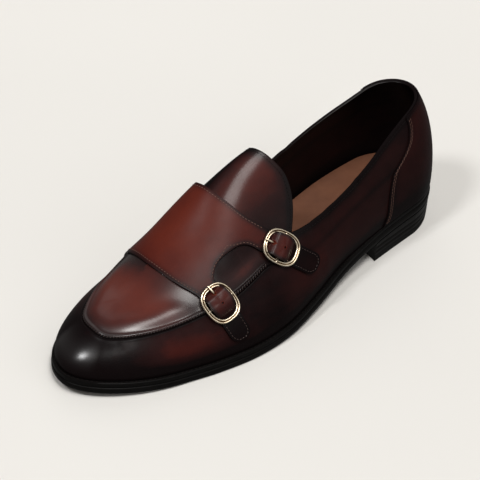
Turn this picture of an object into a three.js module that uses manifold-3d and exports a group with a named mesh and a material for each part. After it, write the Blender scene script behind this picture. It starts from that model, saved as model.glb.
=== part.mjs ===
// A double monk strap shoe for the left foot, standing empty on its sole.
//
// Millimetres, +Z up, toe towards -Y, outer (lateral) side towards +X.
// Inside the file a place is given as (x, fromHeel, z): fromHeel runs from the back of the
// sole to the tip of the toe, and toWorld turns it into the model's own frame.

import * as THREE from "three";
import { mergeVertices } from "three/addons/utils/BufferGeometryUtils.js";
import Module from "manifold-3d";

const wasm = await Module();
wasm.setup();

// ---------------------------------------------------------------- driving dimensions

const LENGTH = 300; // the sole, heel to toe
const HEEL_ROUND = 34; // length of the round at the back of the sole
const TOE_ROUND = 60; // length of the round at the toe
const HEEL_SEAT = 17.6; // height of the underside of the sole at the heel
const HEEL_BREAST = 70.4; // the front face of the heel block, from the heel
const TREAD_START = 190; // the sole lies flat on the ground from here ...
const TREAD_END = 226; // ... to here
const TOE_SPRING = 5; // height of the underside of the sole at the tip
const OUTSOLE = 4.8; // thickness
const WELT = 3.4; // thickness
const INSOLE = 2.4; // thickness above the welt
const WALL = 1.8; // thickness of the upper, leather and lining
const SADDLE = 1.6; // thickness of the strap panel
const TONGUE = 1.8; // thickness
const GAP = 0.3; // clearance between pieces that touch
const WELT_RING = 12; // width of the welt seen from above
const RIDGE_SHIFT = -14; // how far the crest of the instep lies towards the big toe
const TOE_FAN = 49; // the ribs round the toe meet this far behind the tip
const HEEL_FAN = 34; // the ribs round the heel meet this far in front of the back

// Half widths of the sole before its ends are rounded.
const OUTLINE = [
  { at: 0, lateral: 28.4, medial: 29.6 },
  { at: 40, lateral: 32.2, medial: 31.0 },
  { at: 70, lateral: 35.6, medial: 30.6 },
  { at: 100, lateral: 40.3, medial: 28.8 },
  { at: 130, lateral: 48.3, medial: 28.8 },
  { at: 160, lateral: 54.8, medial: 34.8 },
  { at: 190, lateral: 55.3, medial: 43.6 },
  { at: 215, lateral: 51.3, medial: 46.6 },
  { at: 240, lateral: 44.8, medial: 43.6 },
  { at: 270, lateral: 38.6, medial: 40.0 },
  { at: 300, lateral: 32.4, medial: 39.0 },
];

// Underside of the sole over the arch.
const ARCH = [
  { at: 0, height: HEEL_SEAT },
  { at: 70, height: 15.4 },
  { at: 100, height: 10.9 },
  { at: 140, height: 4.2 },
  { at: 170, height: 0.8 },
  { at: TREAD_START, height: 0 },
];

// The crest line of the last, above the ground.
const CREST = [
  { at: -10, height: 114.5 },
  { at: 30, height: 111 },
  { at: 100, height: 107.5 },
  { at: 140, height: 99.6 },
  { at: 170, height: 84.6 },
  { at: 200, height: 64 },
  { at: 230, height: 49 },
  { at: 260, height: 40 },
  { at: 310, height: 32 },
];

// How far the crest lies to the side of the heel-to-toe line.
const RIDGE = [
  { at: 0, shift: 0 },
  { at: 90, shift: -1 },
  { at: 150, shift: RIDGE_SHIFT },
  { at: 200, shift: RIDGE_SHIFT },
  { at: 251, shift: -5 },
  { at: 300, shift: -5 },
];

// Each rib of the upper swells out from the sole, rises and turns over its crown.
const LATERAL_RIBS = [
  { at: 0, swell: 2.0, rise: 0.7, crown: 0.29 },
  { at: 40, swell: 2.8, rise: 0.58, crown: 0.3 },
  { at: 100, swell: 3.3, rise: 0.48, crown: 0.28 },
  { at: 150, swell: 3.4, rise: 0.3, crown: 0.25 },
  { at: 200, swell: 3.7, rise: 0.38, crown: 0.36 },
  { at: 250, swell: 3.2, rise: 0.48, crown: 0.48 },
  { at: 300, swell: 2.3, rise: 0.6, crown: 0.6 },
];
const MEDIAL_RIBS = [
  { at: 0, swell: 2.4, rise: 0.74, crown: 0.3 },
  { at: 40, swell: 3.2, rise: 0.66, crown: 0.31 },
  { at: 100, swell: 5.5, rise: 0.68, crown: 0.34 },
  { at: 150, swell: 3.6, rise: 0.55, crown: 0.4 },
  { at: 200, swell: 3.0, rise: 0.5, crown: 0.46 },
  { at: 250, swell: 3.0, rise: 0.5, crown: 0.54 },
  { at: 300, swell: 2.1, rise: 0.6, crown: 0.6 },
];

// Height of the collar and of the throat hidden under the strap panel.
const TOPLINE = [
  { at: 0, lateral: 94, medial: 94 },
  { at: 33, lateral: 90.5, medial: 89.5 },
  { at: 52, lateral: 84.5, medial: 83.5 },
  { at: 76, lateral: 74.5, medial: 75 },
  { at: 100, lateral: 66, medial: 67 },
  { at: 120, lateral: 61.5, medial: 61 },
  { at: 138, lateral: 59.3, medial: 55 },
  { at: 148, lateral: 60, medial: 52.3 },
  { at: 155, lateral: 60.8, medial: 54.7 },
  { at: 162, lateral: 62.8, medial: 59.8 },
  { at: 168, lateral: 66.5, medial: 64.9 },
  { at: 174, lateral: 71.4, medial: 71 },
  { at: 179, lateral: 75.4, medial: 75.8 },
  { at: 183, lateral: 95, medial: 95 },
];

// Edges of the strap panel. over runs from -1 at the inner side of the sole, through 0 on
// the crest, to 1 at the outer side.
const PANEL_FRONT = [
  { over: -0.92, at: 204 },
  { over: -0.5, at: 217 },
  { over: -0.2, at: 222.5 },
  { over: 0, at: 224 },
  { over: 0.15, at: 223 },
  { over: 0.3, at: 220 },
  { over: 0.46, at: 214 },
  { over: 0.6, at: 210.5 },
];
const PANEL_REAR = [
  { over: -0.92, at: 133 },
  { over: -0.66, at: 151 },
  { over: -0.5, at: 161 },
  { over: -0.3, at: 169 },
  { over: 0, at: 172 },
  { over: 0.2, at: 168.8 },
  { over: 0.34, at: 163.5 },
  { over: 0.46, at: 155 },
  { over: 0.6, at: 145 },
];
const PANEL_MEDIAL_END = -0.92;

// Free edge of the tongue, and the hidden edge that is sewn under the panel.
const TONGUE_TOP = [
  { over: -0.8, at: 153 },
  { over: -0.7, at: 145.5 },
  { over: -0.59, at: 136.2 },
  { over: -0.45, at: 133.5 },
  { over: -0.25, at: 136 },
  { over: 0, at: 138 },
  { over: 0.2, at: 132.5 },
  { over: 0.34, at: 129.2 },
  { over: 0.48, at: 132.5 },
  { over: 0.6, at: 142 },
];
const TONGUE_ROOT = 193;
const TONGUE_MEDIAL = -0.8;
const TONGUE_LATERAL = 0.6;

// The two strap ends and their buckles: where the buckle's centre lies on the outer side,
// which way the strap runs there, and how far the strap goes on past the centre.
const STRAPS = [
  { name: "front", at: 204.6, over: 0.562, lean: 2, reach: 29.5 },
  { name: "rear", at: 153.2, over: 0.565, lean: 23, reach: 33 },
];
const STRAP_HALF_WIDTH = 7.2;
const STRAP_NARROWING = 1.0; // each side, inside the buckle
const BUCKLE_HALF_LENGTH = 12.6; // along the strap
const BUCKLE_HALF_WIDTH = 10.8; // across the strap
const BUCKLE_SQUARENESS = 3;
const FRAME_WIDTH = 2.6;
const FRAME_HEIGHT = 2.4;
const BAR_RADIUS = 0.8;
const BAR_HEIGHT = 3.3; // of the bar and frame above the upper
const CHAPE_HALF_WIDTH = 4.6;
const CHAPE = 0.8; // thickness
const PRONG_RADIUS = 0.6;
const STRAP_OVER_BAR = BAR_HEIGHT + BAR_RADIUS + GAP + 2 * PRONG_RADIUS;

const STATIONS = 40; // ribs along each side
const THROAT_RIBS = [145, 165, 173, 175.5, 177.5, 179, 180.5, 181.6, 182.6]; // more ribs round the throat
const RIB_STEPS = 13; // facets from sole to crest

// ---------------------------------------------------------------- curves from tables

// A smooth curve through one column of a table.
function curve(rows, column, at, key = "at") {
  const last = rows.length - 1;
  const x = Math.min(Math.max(at, rows[0][key]), rows[last][key]);
  let i = 0;
  while (i < last - 1 && x >= rows[i + 1][key]) i++;
  const width = (n) => rows[n + 1][key] - rows[n][key];
  const slope = (n) => (rows[n + 1][column] - rows[n][column]) / width(n);
  const tangent = (n) => {
    if (n === 0) return slope(0);
    if (n === last) return slope(last - 1);
    return (slope(n - 1) * width(n) + slope(n) * width(n - 1)) / (width(n - 1) + width(n));
  };
  const h = width(i);
  const t = (x - rows[i][key]) / h;
  const start = (2 * t ** 3 - 3 * t ** 2 + 1) * rows[i][column] + (t ** 3 - 2 * t ** 2 + t) * h * tangent(i);
  const end = (3 * t ** 2 - 2 * t ** 3) * rows[i + 1][column] + (t ** 3 - t ** 2) * h * tangent(i + 1);
  return start + end;
}

const { smoothstep } = THREE.MathUtils;
const lerp = (a, b, t) => a + (b - a) * t;
const softPlus = (t, soft) => soft * Math.log1p(Math.exp(t / soft));

// Keeps a value between two limits with soft corners.
function softClamp(value, low, high, soft = 8) {
  const topped = high - softPlus(high - value, soft);
  return low + softPlus(topped - low, soft);
}

// ---------------------------------------------------------------- the last

// Underside of the sole above the ground.
function underside(at) {
  if (at >= TREAD_END) return TOE_SPRING * ((at - TREAD_END) / (LENGTH - TREAD_END)) ** 1.4;
  if (at >= TREAD_START) return 0;
  return Math.max(0, curve(ARCH, "height", Math.max(0, at)));
}

// The rounding of the two ends of the sole.
function endRounding(at) {
  const heel = Math.max(0, 1 - at / HEEL_ROUND);
  const toe = Math.max(0, (at - LENGTH + TOE_ROUND) / TOE_ROUND);
  return Math.sqrt(Math.max(0, 1 - heel ** 2)) * Math.sqrt(Math.max(0, 1 - toe ** 2));
}

// A point of the sole's outline: turn goes from 0 at the heel along the outer side to 1 at
// the toe, and back along the inner side to 2.
function outline(turn) {
  const t = (turn + 2) % 2;
  const along = t <= 1 ? t : 2 - t;
  const at = (LENGTH / 2) * (1 - Math.cos(Math.PI * along));
  const x = t <= 1 ? curve(OUTLINE, "lateral", at) : -curve(OUTLINE, "medial", at);
  return new THREE.Vector2(x * endRounding(at), at);
}

// The outline moved inwards by a distance.
function insetOutline(turn, inset) {
  const step = 1e-3;
  const along = outline(turn + step).sub(outline(turn - step)).normalize();
  return outline(turn).add(new THREE.Vector2(-along.y, along.x).multiplyScalar(inset));
}

// The line where the upper meets the welt stands back from the edge of the sole.
function featherInset(at) {
  return lerp(0.9, 2.5, THREE.MathUtils.clamp((at - 60) / 50, 0, 1));
}

function feather(turn, inset = 0) {
  return insetOutline(turn, featherInset(outline(turn).y) + inset);
}

const FEATHER_HEIGHT = OUTSOLE + GAP + WELT + GAP;
const featherLevel = (at) => underside(at) + FEATHER_HEIGHT;
const alongOf = (at) => Math.acos(1 - (2 * at) / LENGTH) / Math.PI;

// How much rounder the inner side of the instep is made near the crest, so that it has no fold.
const CREST_ROUNDING = 0.32;

// A point on the outside of the upper: along is 0 at the heel and 1 at the toe, side is 1 on
// the outer and -1 on the inner side, and share runs from 0 at the sole to 1 on the crest.
function ribPoint(along, side, share) {
  const turn = side > 0 ? along : 2 - along;
  const at = (LENGTH / 2) * (1 - Math.cos(Math.PI * along));
  const foot = feather(turn);
  const ridgeAt = softClamp(at, HEEL_FAN, LENGTH - TOE_FAN);
  const ridge = new THREE.Vector2(curve(RIDGE, "shift", ridgeAt), ridgeAt);
  const inward = ridge.clone().sub(foot);
  const reach = inward.length();
  inward.divideScalar(reach);
  const outerShare = (1 - inward.x) / 2;
  const blend = (column) =>
    lerp(curve(MEDIAL_RIBS, column, at), curve(LATERAL_RIBS, column, at), outerShare);
  const b1 = 3 * (1 - share) ** 2 * share;
  const b2 = 3 * (1 - share) * share ** 2;
  const b3 = share ** 3;
  const swellReach = -1.6 * blend("swell");
  const instep = smoothstep(at, 60, 110) * (1 - smoothstep(at, 190, 225));
  const rounding = CREST_ROUNDING * (1 - outerShare) * instep * smoothstep(share, 0.5, 0.92);
  const across = b1 * swellReach + b2 * reach * (1 - blend("crown") - rounding) + b3 * reach;
  const lift = b1 * blend("rise") + b2 + b3;
  const place = foot.clone().add(inward.multiplyScalar(across));
  const base = featherLevel(foot.y);
  const height = base + (curve(CREST, "height", place.y) - base) * lift;
  return new THREE.Vector3(place.x, place.y, height);
}

// The same surface by distance from the heel and by over, from -1 (inner) to 1 (outer).
function lastPoint(at, over) {
  return ribPoint(alongOf(at), over >= 0 ? 1 : -1, 1 - Math.abs(over));
}

// The share of a rib at which it reaches a height, or 1 where it stays below it.
function shareAtHeight(along, side, height) {
  if (ribPoint(along, side, 1).z <= height) return 1;
  let low = 0;
  let high = 1;
  for (let n = 0; n < 30; n++) {
    const middle = (low + high) / 2;
    if (ribPoint(along, side, middle).z < height) low = middle;
    else high = middle;
  }
  return high;
}

// ---------------------------------------------------------------- building solids

const toWorld = (p) => new THREE.Vector3(p.x, LENGTH / 2 - p.y, p.z);

// A closed solid from points and faces. Coincident points are merged first.
function geometryFrom(points, faces) {
  const triangles = [];
  for (const face of faces) {
    for (let i = 1; i < face.length - 1; i++) triangles.push(face[0], face[i], face[i + 1]);
  }
  const loose = new THREE.BufferGeometry();
  loose.setAttribute("position", new THREE.Float32BufferAttribute(points.flatMap((p) => p.toArray()), 3));
  loose.setIndex(triangles);
  const merged = mergeVertices(loose, 1e-4);
  const kept = [];
  const index = merged.index.array;
  for (let i = 0; i < index.length; i += 3) {
    const [a, b, c] = [index[i], index[i + 1], index[i + 2]];
    if (a !== b && b !== c && c !== a) kept.push(a, b, c);
  }
  merged.setIndex(kept);
  return merged;
}

function solidFrom(geometry) {
  const triVerts = new Uint32Array(geometry.index.array);
  const vertProperties = new Float32Array(geometry.attributes.position.array);
  return new wasm.Manifold(new wasm.Mesh({ numProp: 3, vertProperties, triVerts }));
}

function geometryOf(solid) {
  const mesh = solid.getMesh();
  const geometry = new THREE.BufferGeometry();
  geometry.setAttribute("position", new THREE.BufferAttribute(new Float32Array(mesh.vertProperties), 3));
  geometry.setIndex(new THREE.BufferAttribute(new Uint32Array(mesh.triVerts), 1));
  geometry.computeVertexNormals();
  return geometry;
}

// Leather: a sheet of four-sided faces in world space is given a thickness between two
// offsets along its normals. Faces turn anticlockwise seen from outside. trueUp may correct
// the normal of a point.
function leather(points, faces, inner, outer, trueUp = () => {}) {
  const ids = new Map();
  const places = [];
  const idOf = points.map((p) => {
    const name = p.toArray().map((c) => Math.round(c * 1e3)).join();
    if (!ids.has(name)) {
      ids.set(name, places.length);
      places.push(p);
    }
    return ids.get(name);
  });
  const sheet = faces
    .map((face) => face.map((i) => idOf[i]).filter((id, i, all) => id !== all[(i + 1) % all.length]))
    .filter((face) => face.length > 2);
  const normals = places.map(() => new THREE.Vector3());
  for (const face of sheet) {
    const first = places[face[0]];
    for (let i = 1; i < face.length - 1; i++) {
      const a = places[face[i]].clone().sub(first);
      const b = places[face[i + 1]].clone().sub(first);
      const area = a.cross(b);
      for (const id of [face[0], face[i], face[i + 1]]) normals[id].add(area);
    }
  }
  normals.forEach((n, i) => {
    trueUp(places[i], n);
    n.normalize();
  });
  const count = places.length;
  const skin = (offset) => places.map((p, i) => p.clone().addScaledVector(normals[i], offset));
  const edges = new Map();
  for (const face of sheet) {
    face.forEach((a, i) => edges.set(a + "," + face[(i + 1) % face.length], true));
  }
  const solidFaces = [...sheet];
  for (const face of sheet) {
    solidFaces.push([...face].reverse().map((id) => id + count));
    face.forEach((a, i) => {
      const b = face[(i + 1) % face.length];
      if (!edges.has(b + "," + a)) solidFaces.push([b, a, a + count, b + count]);
    });
  }
  return geometryFrom([...skin(outer), ...skin(inner)], solidFaces);
}

// Faces of a grid of points stored row by row.
function gridFaces(rows, columns, start = 0, skip = () => false) {
  const faces = [];
  for (let r = 0; r < rows - 1; r++) {
    for (let c = 0; c < columns - 1; c++) {
      if (skip(r, c)) continue;
      const i = start + r * columns + c;
      faces.push([i, i + columns, i + columns + 1, i + 1]);
    }
  }
  return faces;
}

// Rings of the sole: each layer is a closed loop of points with paired sides.
function soleLoop(inset, level, fromTurn = 0, toTurn = 1) {
  const loop = [];
  const place = (turn) => {
    const p = insetOutline(turn, inset(outline(turn).y));
    return toWorld(new THREE.Vector3(p.x, p.y, level(p.y)));
  };
  const count = Math.round((toTurn - fromTurn) * STATIONS);
  for (let k = 0; k <= count; k++) loop.push(place(lerp(fromTurn, toTurn, k / count)));
  const closedAtToe = toTurn === 1;
  for (let k = closedAtToe ? count - 1 : count; k > 0; k--) {
    loop.push(place(2 - lerp(fromTurn, toTurn, k / count)));
  }
  return loop;
}

// Stacks loops from the bottom up into a solid. A ring has a hole through it.
function stack(loops, ring = false) {
  const size = loops[0].length;
  const faces = [];
  const layers = ring ? loops.length : loops.length - 1;
  for (let n = 0; n < layers; n++) {
    const low = n * size;
    const high = ((n + 1) % loops.length) * size;
    for (let i = 0; i < size; i++) {
      const j = (i + 1) % size;
      faces.push([low + j, low + i, high + i, high + j]);
    }
  }
  if (!ring) {
    const top = (loops.length - 1) * size;
    for (let i = 0; i < size - 1 - i; i++) {
      const strip = [i, i + 1, size - 1 - i, size - i].map((id) => id % size);
      faces.push([strip[0], strip[1], strip[2], strip[3]]);
      faces.push([strip[3], strip[2], strip[1], strip[0]].map((id) => id + top));
    }
  }
  return geometryFrom(loops.flat(), faces);
}

// ---------------------------------------------------------------- sole, heel and insole

const flat = (inset) => () => inset;

function makeOutsole() {
  const top = (at) => underside(at) + OUTSOLE;
  const middle = (at) => underside(at) + OUTSOLE / 2;
  return stack([soleLoop(flat(0.8), underside), soleLoop(flat(0), middle), soleLoop(flat(0.4), top)]);
}

function makeWelt() {
  const low = (at) => underside(at) + OUTSOLE + GAP;
  const high = (at) => low(at) + WELT;
  const outer = (at) => (at < HEEL_BREAST ? 0.5 : 0.4);
  return stack(
    [
      soleLoop(outer, low),
      soleLoop(outer, high),
      soleLoop(flat(WELT_RING), high),
      soleLoop(flat(WELT_RING), low),
    ],
    true,
  );
}

function makeHeel() {
  const breast = alongOf(HEEL_BREAST);
  const top = (at) => underside(Math.min(at, HEEL_BREAST)) - GAP;
  const layer = (inset, level) => soleLoop(flat(inset), level, 0, breast);
  return stack([layer(1.6, flat(0)), layer(1.3, flat(1.2)), layer(0.3, top)]);
}

// The insole rests on the welt, and its cork filling reaches down to the outsole.
function makeInsole() {
  const cork = (at) => underside(at) + OUTSOLE + GAP;
  const rest = (at) => featherLevel(at) + 0.1;
  const top = (at) => featherLevel(at) + INSOLE;
  const edge = (at) => featherInset(at) + WALL + 2 * GAP;
  return stack([
    soleLoop(flat(WELT_RING + GAP), cork),
    soleLoop(flat(WELT_RING + GAP), rest),
    soleLoop(edge, rest),
    soleLoop(edge, top),
  ]);
}

// ---------------------------------------------------------------- upper

function makeUpper() {
  const points = [];
  const columns = RIB_STEPS + 1;
  const stations = THROAT_RIBS.map(alongOf);
  for (let k = 0; k <= STATIONS; k++) stations.push(k / STATIONS);
  stations.sort((a, b) => a - b);
  for (const along of stations) {
    const at = (LENGTH / 2) * (1 - Math.cos(Math.PI * along));
    for (const side of [1, -1]) {
      const column = side > 0 ? "lateral" : "medial";
      const open = at < TOPLINE[TOPLINE.length - 1].at;
      const top = open ? shareAtHeight(along, side, curve(TOPLINE, column, at)) : 1;
      for (let n = 0; n <= RIB_STEPS; n++) points.push(toWorld(ribPoint(along, side, (top * n) / RIB_STEPS)));
    }
  }
  const faces = [];
  for (let k = 0; k < stations.length - 1; k++) {
    for (let n = 0; n < RIB_STEPS; n++) {
      const here = k * 2 * columns + n;
      const next = here + 2 * columns;
      faces.push([here, here + 1, next + 1, next]);
      faces.push([here + columns + 1, here + columns, next + columns, next + columns + 1]);
    }
  }
  // The foot of the wall stands level on the welt.
  const levelFoot = (place, normal) => {
    if (place.z < featherLevel(LENGTH / 2 - place.y) + 0.01) normal.z = 0;
  };
  return leather(points, faces, -WALL, 0, levelFoot);
}

// ---------------------------------------------------------------- straps and buckles

// The frame of axes at a buckle: out of the leather, along the strap and across it.
function buckleAxes(strap) {
  const step = 0.5;
  const centre = toWorld(lastPoint(strap.at, strap.over));
  const towardsToe = toWorld(lastPoint(strap.at + step, strap.over)).sub(centre).divideScalar(step);
  const shareStep = 0.01;
  const down = toWorld(lastPoint(strap.at, strap.over + shareStep)).sub(centre).divideScalar(shareStep);
  const out = down.clone().cross(towardsToe).normalize();
  if (out.z < 0) out.negate();
  const lean = THREE.MathUtils.degToRad(strap.lean);
  const straightDown = towardsToe.clone().cross(out).normalize();
  if (straightDown.z > 0) straightDown.negate();
  const heelward = towardsToe.clone().normalize().negate();
  const along = straightDown.multiplyScalar(Math.cos(lean)).addScaledVector(heelward, Math.sin(lean)).normalize();
  const across = out.clone().cross(along);
  // Steps of (at, over) for one millimetre in a direction that lies in the leather.
  const solve = (v) => {
    const aa = towardsToe.dot(towardsToe);
    const ab = towardsToe.dot(down);
    const bb = down.dot(down);
    const va = v.dot(towardsToe);
    const vb = v.dot(down);
    const det = aa * bb - ab * ab;
    return { at: (va * bb - vb * ab) / det, over: (vb * aa - va * ab) / det };
  };
  return { centre, out, along, across, alongStep: solve(along), acrossStep: solve(across) };
}

// A point of the leather's surface, given in millimetres along and across the strap.
function strapPlace(strap, axes, along, across) {
  return {
    at: strap.at + along * axes.alongStep.at + across * axes.acrossStep.at,
    over: strap.over + along * axes.alongStep.over + across * axes.acrossStep.over,
  };
}

// How far the strap is lifted off the upper on its way over the bar.
function strapLift(along) {
  const flatTop = 2.0;
  const foot = 8.8;
  const t = THREE.MathUtils.clamp((foot - Math.abs(along)) / (foot - flatTop), 0, 1);
  return STRAP_OVER_BAR * t * t * (3 - 2 * t);
}

// Half the width of the strap, which ends in a round tip.
function strapHalfWidth(along, reach) {
  const t = Math.max(0, (along - reach + TIP_ROUND) / TIP_ROUND);
  const inBuckle = smoothstep(-Math.abs(along), -11.4, -8.4);
  const half = STRAP_HALF_WIDTH - STRAP_NARROWING * inBuckle;
  return half * Math.sqrt(Math.max(0, 1 - (0.985 * t) ** 2.4));
}

const ACROSS_COLUMNS = [-1, -0.55, -0.17, 0.17, 0.55, 1];
const TIP_ROUND = 7.5; // length of the rounded tip
const ROOT_ALONG = -12.4; // where the strap leaves the panel, from the bar
const HOLE_FROM = 2.9; // the prong's hole is on the side of the bar towards the root
const HOLE_TO = 6.2;

// Rows of the strap's sheet from its root to its tip, with a hole for the prong.
function strapRows(reach) {
  const rows = [-10.6, -8.6, -7.4, -HOLE_TO, -4.6, -HOLE_FROM, -1.6, 0, 1.6, 3, 4.6, 6.2, 7.6, 9, 11, 14];
  const round = [0, 0.42, 0.66, 0.82, 0.93, 1].map((t) => reach - TIP_ROUND * (1 - t));
  return [...rows, ...round];
}

// The strap panel: one sheet over the instep that divides into two straps on the outer side.
function makeSaddle(axesOf) {
  const [front, rear] = STRAPS;
  const strapColumns = ACROSS_COLUMNS.length;
  const rootPlaces = (strap) =>
    ACROSS_COLUMNS.map((w) => strapPlace(strap, axesOf.get(strap), ROOT_ALONG, w * STRAP_HALF_WIDTH));
  const frontRoot = rootPlaces(front).sort((a, b) => b.at - a.at);
  const rearRoot = rootPlaces(rear).sort((a, b) => b.at - a.at);
  // The rounded cut-out between the straps.
  const gapStart = frontRoot[strapColumns - 1];
  const gapEnd = rearRoot[0];
  const cutSteps = 9;
  const cut = [];
  for (let n = 1; n < cutSteps; n++) {
    const t = n / cutSteps;
    const bow = (1 - Math.abs(2 * t - 1) ** 3.2) * 0.072;
    cut.push({ at: lerp(gapStart.at, gapEnd.at, t), over: lerp(gapStart.over, gapEnd.over, t) - bow });
  }
  const lastRow = [...frontRoot, ...cut, ...rearRoot];
  const columns = lastRow.length;
  const rowCount = 17;
  const places = [];
  for (let r = 0; r < rowCount; r++) {
    const t = r / (rowCount - 1);
    for (let c = 0; c < columns; c++) {
      const end = lastRow[c];
      const over = lerp(PANEL_MEDIAL_END, end.over, t);
      const frontEdge = curve(PANEL_FRONT, "at", over, "over");
      const rearEdge = curve(PANEL_REAR, "at", over, "over");
      const endFront = curve(PANEL_FRONT, "at", end.over, "over");
      const endRear = curve(PANEL_REAR, "at", end.over, "over");
      const endShare = (endFront - end.at) / (endFront - endRear);
      const share = lerp(c / (columns - 1), endShare, t ** 2);
      places.push({ at: lerp(frontEdge, rearEdge, share), over });
    }
  }
  const points = places.map((p) => toWorld(lastPoint(p.at, p.over)));
  const faces = gridFaces(rowCount, columns);
  const rootRow = (rowCount - 1) * columns;
  for (const strap of STRAPS) {
    const axes = axesOf.get(strap);
    const rows = strapRows(strap.reach);
    const start = points.length;
    const isFront = strap === front;
    const sign = rootPlaces(strap)[0].at > rootPlaces(strap)[strapColumns - 1].at ? 1 : -1;
    for (const along of rows) {
      const half = strapHalfWidth(along, strap.reach);
      for (const w of ACROSS_COLUMNS) {
        const place = strapPlace(strap, axes, along, sign * w * half);
        const p = toWorld(lastPoint(place.at, place.over));
        points.push(p.addScaledVector(axes.out, strapLift(along)));
      }
    }
    const rootStart = rootRow + (isFront ? 0 : columns - strapColumns);
    for (let c = 0; c < strapColumns - 1; c++) {
      faces.push([rootStart + c, start + c, start + c + 1, rootStart + c + 1]);
    }
    const holeRow = rows.indexOf(-HOLE_TO);
    const inHole = (r, c) => c === 2 && (r === holeRow || r === holeRow + 1);
    faces.push(...gridFaces(rows.length, strapColumns, start, inHole));
  }
  return leather(points, faces, GAP, GAP + SADDLE);
}

function makeTongue() {
  const rows = 12;
  const columns = 17;
  const points = [];
  for (let r = 0; r < rows; r++) {
    for (let c = 0; c < columns; c++) {
      const over = lerp(TONGUE_MEDIAL, TONGUE_LATERAL, c / (columns - 1));
      const top = curve(TONGUE_TOP, "at", over, "over");
      points.push(toWorld(lastPoint(lerp(TONGUE_ROOT, top, r / (rows - 1)), over)));
    }
  }
  const outer = -(WALL + 3.5 * GAP);
  const faces = gridFaces(rows, columns).map((face) => face.reverse());
  return leather(points, faces, outer - TONGUE, outer);
}

// Places a point given along, across and above the leather at a buckle.
function buckleSpace(axes) {
  return (along, across, above) =>
    axes.centre
      .clone()
      .addScaledVector(axes.along, along)
      .addScaledVector(axes.across, across)
      .addScaledVector(axes.out, above);
}

// The frame is a rounded rectangle of wire with two ridges and a bar across its middle.
function makeBuckle(axes) {
  const place = buckleSpace(axes);
  const around = 30;
  const section = [
    [0.5, 0],
    [0.36, 0.42],
    [0.08, 0.5],
    [-0.08, 0.3],
    [-0.36, 0.36],
    [-0.5, 0],
    [-0.36, -0.42],
    [0.36, -0.42],
  ];
  const points = [];
  const power = 2 / BUCKLE_SQUARENESS;
  const bent = (v) => Math.sign(v) * Math.abs(v) ** power;
  for (let n = 0; n < around; n++) {
    const angle = (2 * Math.PI * n) / around;
    for (const [width, height] of section) {
      const inward = FRAME_WIDTH * (0.5 - width);
      const along = (BUCKLE_HALF_LENGTH - inward) * bent(Math.cos(angle));
      const across = (BUCKLE_HALF_WIDTH - inward) * bent(Math.sin(angle));
      points.push(place(along, across, BAR_HEIGHT + height * FRAME_HEIGHT));
    }
  }
  const faces = [];
  for (let n = 0; n < around; n++) {
    for (let i = 0; i < section.length; i++) {
      const j = (i + 1) % section.length;
      const here = n * section.length;
      const next = ((n + 1) % around) * section.length;
      faces.push([here + i, next + i, next + j, here + j]);
    }
  }
  const frame = solidFrom(geometryFrom(points, faces));
  const barHalf = BUCKLE_HALF_WIDTH - FRAME_WIDTH / 2;
  const bar = new THREE.CylinderGeometry(BAR_RADIUS, BAR_RADIUS, 2 * barHalf, 10);
  bar.deleteAttribute("normal");
  bar.deleteAttribute("uv");
  const turn = new THREE.Matrix4().makeBasis(axes.along, axes.across, axes.out);
  bar.applyMatrix4(turn);
  bar.translate(...place(0, 0, BAR_HEIGHT).toArray());
  return geometryOf(frame.add(solidFrom(mergeVertices(bar))));
}

// A strip of leather that comes up from the upper and hooks round the bar. Its slot lets the
// prong's loop through.
function makeChape(axes) {
  const place = buckleSpace(axes);
  const middle = BAR_RADIUS + GAP + CHAPE / 2;
  const rows = [
    [6.2, GAP + CHAPE / 2],
    [3.8, GAP + CHAPE / 2],
  ];
  const turnSteps = 9;
  for (let n = 0; n <= turnSteps; n++) {
    const angle = THREE.MathUtils.degToRad(lerp(-42, 238, n / turnSteps));
    rows.push([middle * Math.cos(angle), BAR_HEIGHT + middle * Math.sin(angle)]);
  }
  const columns = [-1, -0.36, 0.36, 1];
  const points = rows.flatMap(([along, above]) =>
    columns.map((w) => place(along, w * CHAPE_HALF_WIDTH, above)),
  );
  const faces = gridFaces(rows.length, columns.length, 0, (r, c) => c === 1 && r > 1);
  return leather(points, faces, -CHAPE / 2, CHAPE / 2);
}

// The prong loops round the bar, comes up through the strap and rests on the frame.
function makeProng(axes) {
  const place = buckleSpace(axes);
  const loop = BAR_RADIUS + GAP + PRONG_RADIUS;
  const path = [];
  for (let angle = -5; angle <= 145; angle += 25) {
    const turn = THREE.MathUtils.degToRad(angle);
    path.push([loop * Math.cos(turn), BAR_HEIGHT + loop * Math.sin(turn)]);
  }
  const overFrame = BAR_HEIGHT + FRAME_HEIGHT / 2 + GAP + PRONG_RADIUS;
  path.push([-3.0, BAR_HEIGHT + 0.5], [-4.3, BAR_HEIGHT + 2.0], [-5.6, overFrame + 0.9]);
  path.push([-7.4, overFrame + 0.8], [-9.6, overFrame + 0.3], [-11.4, overFrame], [-12.8, overFrame - 0.3]);
  const line = new THREE.CatmullRomCurve3(path.map(([along, above]) => new THREE.Vector3(along, 0, above)));
  const steps = 24;
  const sides = 7;
  const points = [];
  for (let n = 0; n <= steps; n++) {
    const p = line.getPoint(n / steps);
    const t = line.getTangent(n / steps);
    const taper = n > steps - 3 ? 1 - 0.18 * (n - steps + 3) : 1;
    for (let i = 0; i < sides; i++) {
      const angle = (2 * Math.PI * i) / sides;
      const up = PRONG_RADIUS * taper * Math.cos(angle);
      points.push(place(p.x - t.z * up, PRONG_RADIUS * taper * Math.sin(angle), p.z + t.x * up));
    }
  }
  const faces = [];
  for (let n = 0; n < steps; n++) {
    for (let i = 0; i < sides; i++) {
      const j = (i + 1) % sides;
      faces.push([n * sides + j, n * sides + i, (n + 1) * sides + i, (n + 1) * sides + j]);
    }
  }
  const ring = [...Array(sides).keys()];
  faces.push(ring);
  faces.push(ring.map((i) => i + steps * sides).reverse());
  return geometryFrom(points, faces);
}

// ---------------------------------------------------------------- the shoe

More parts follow.
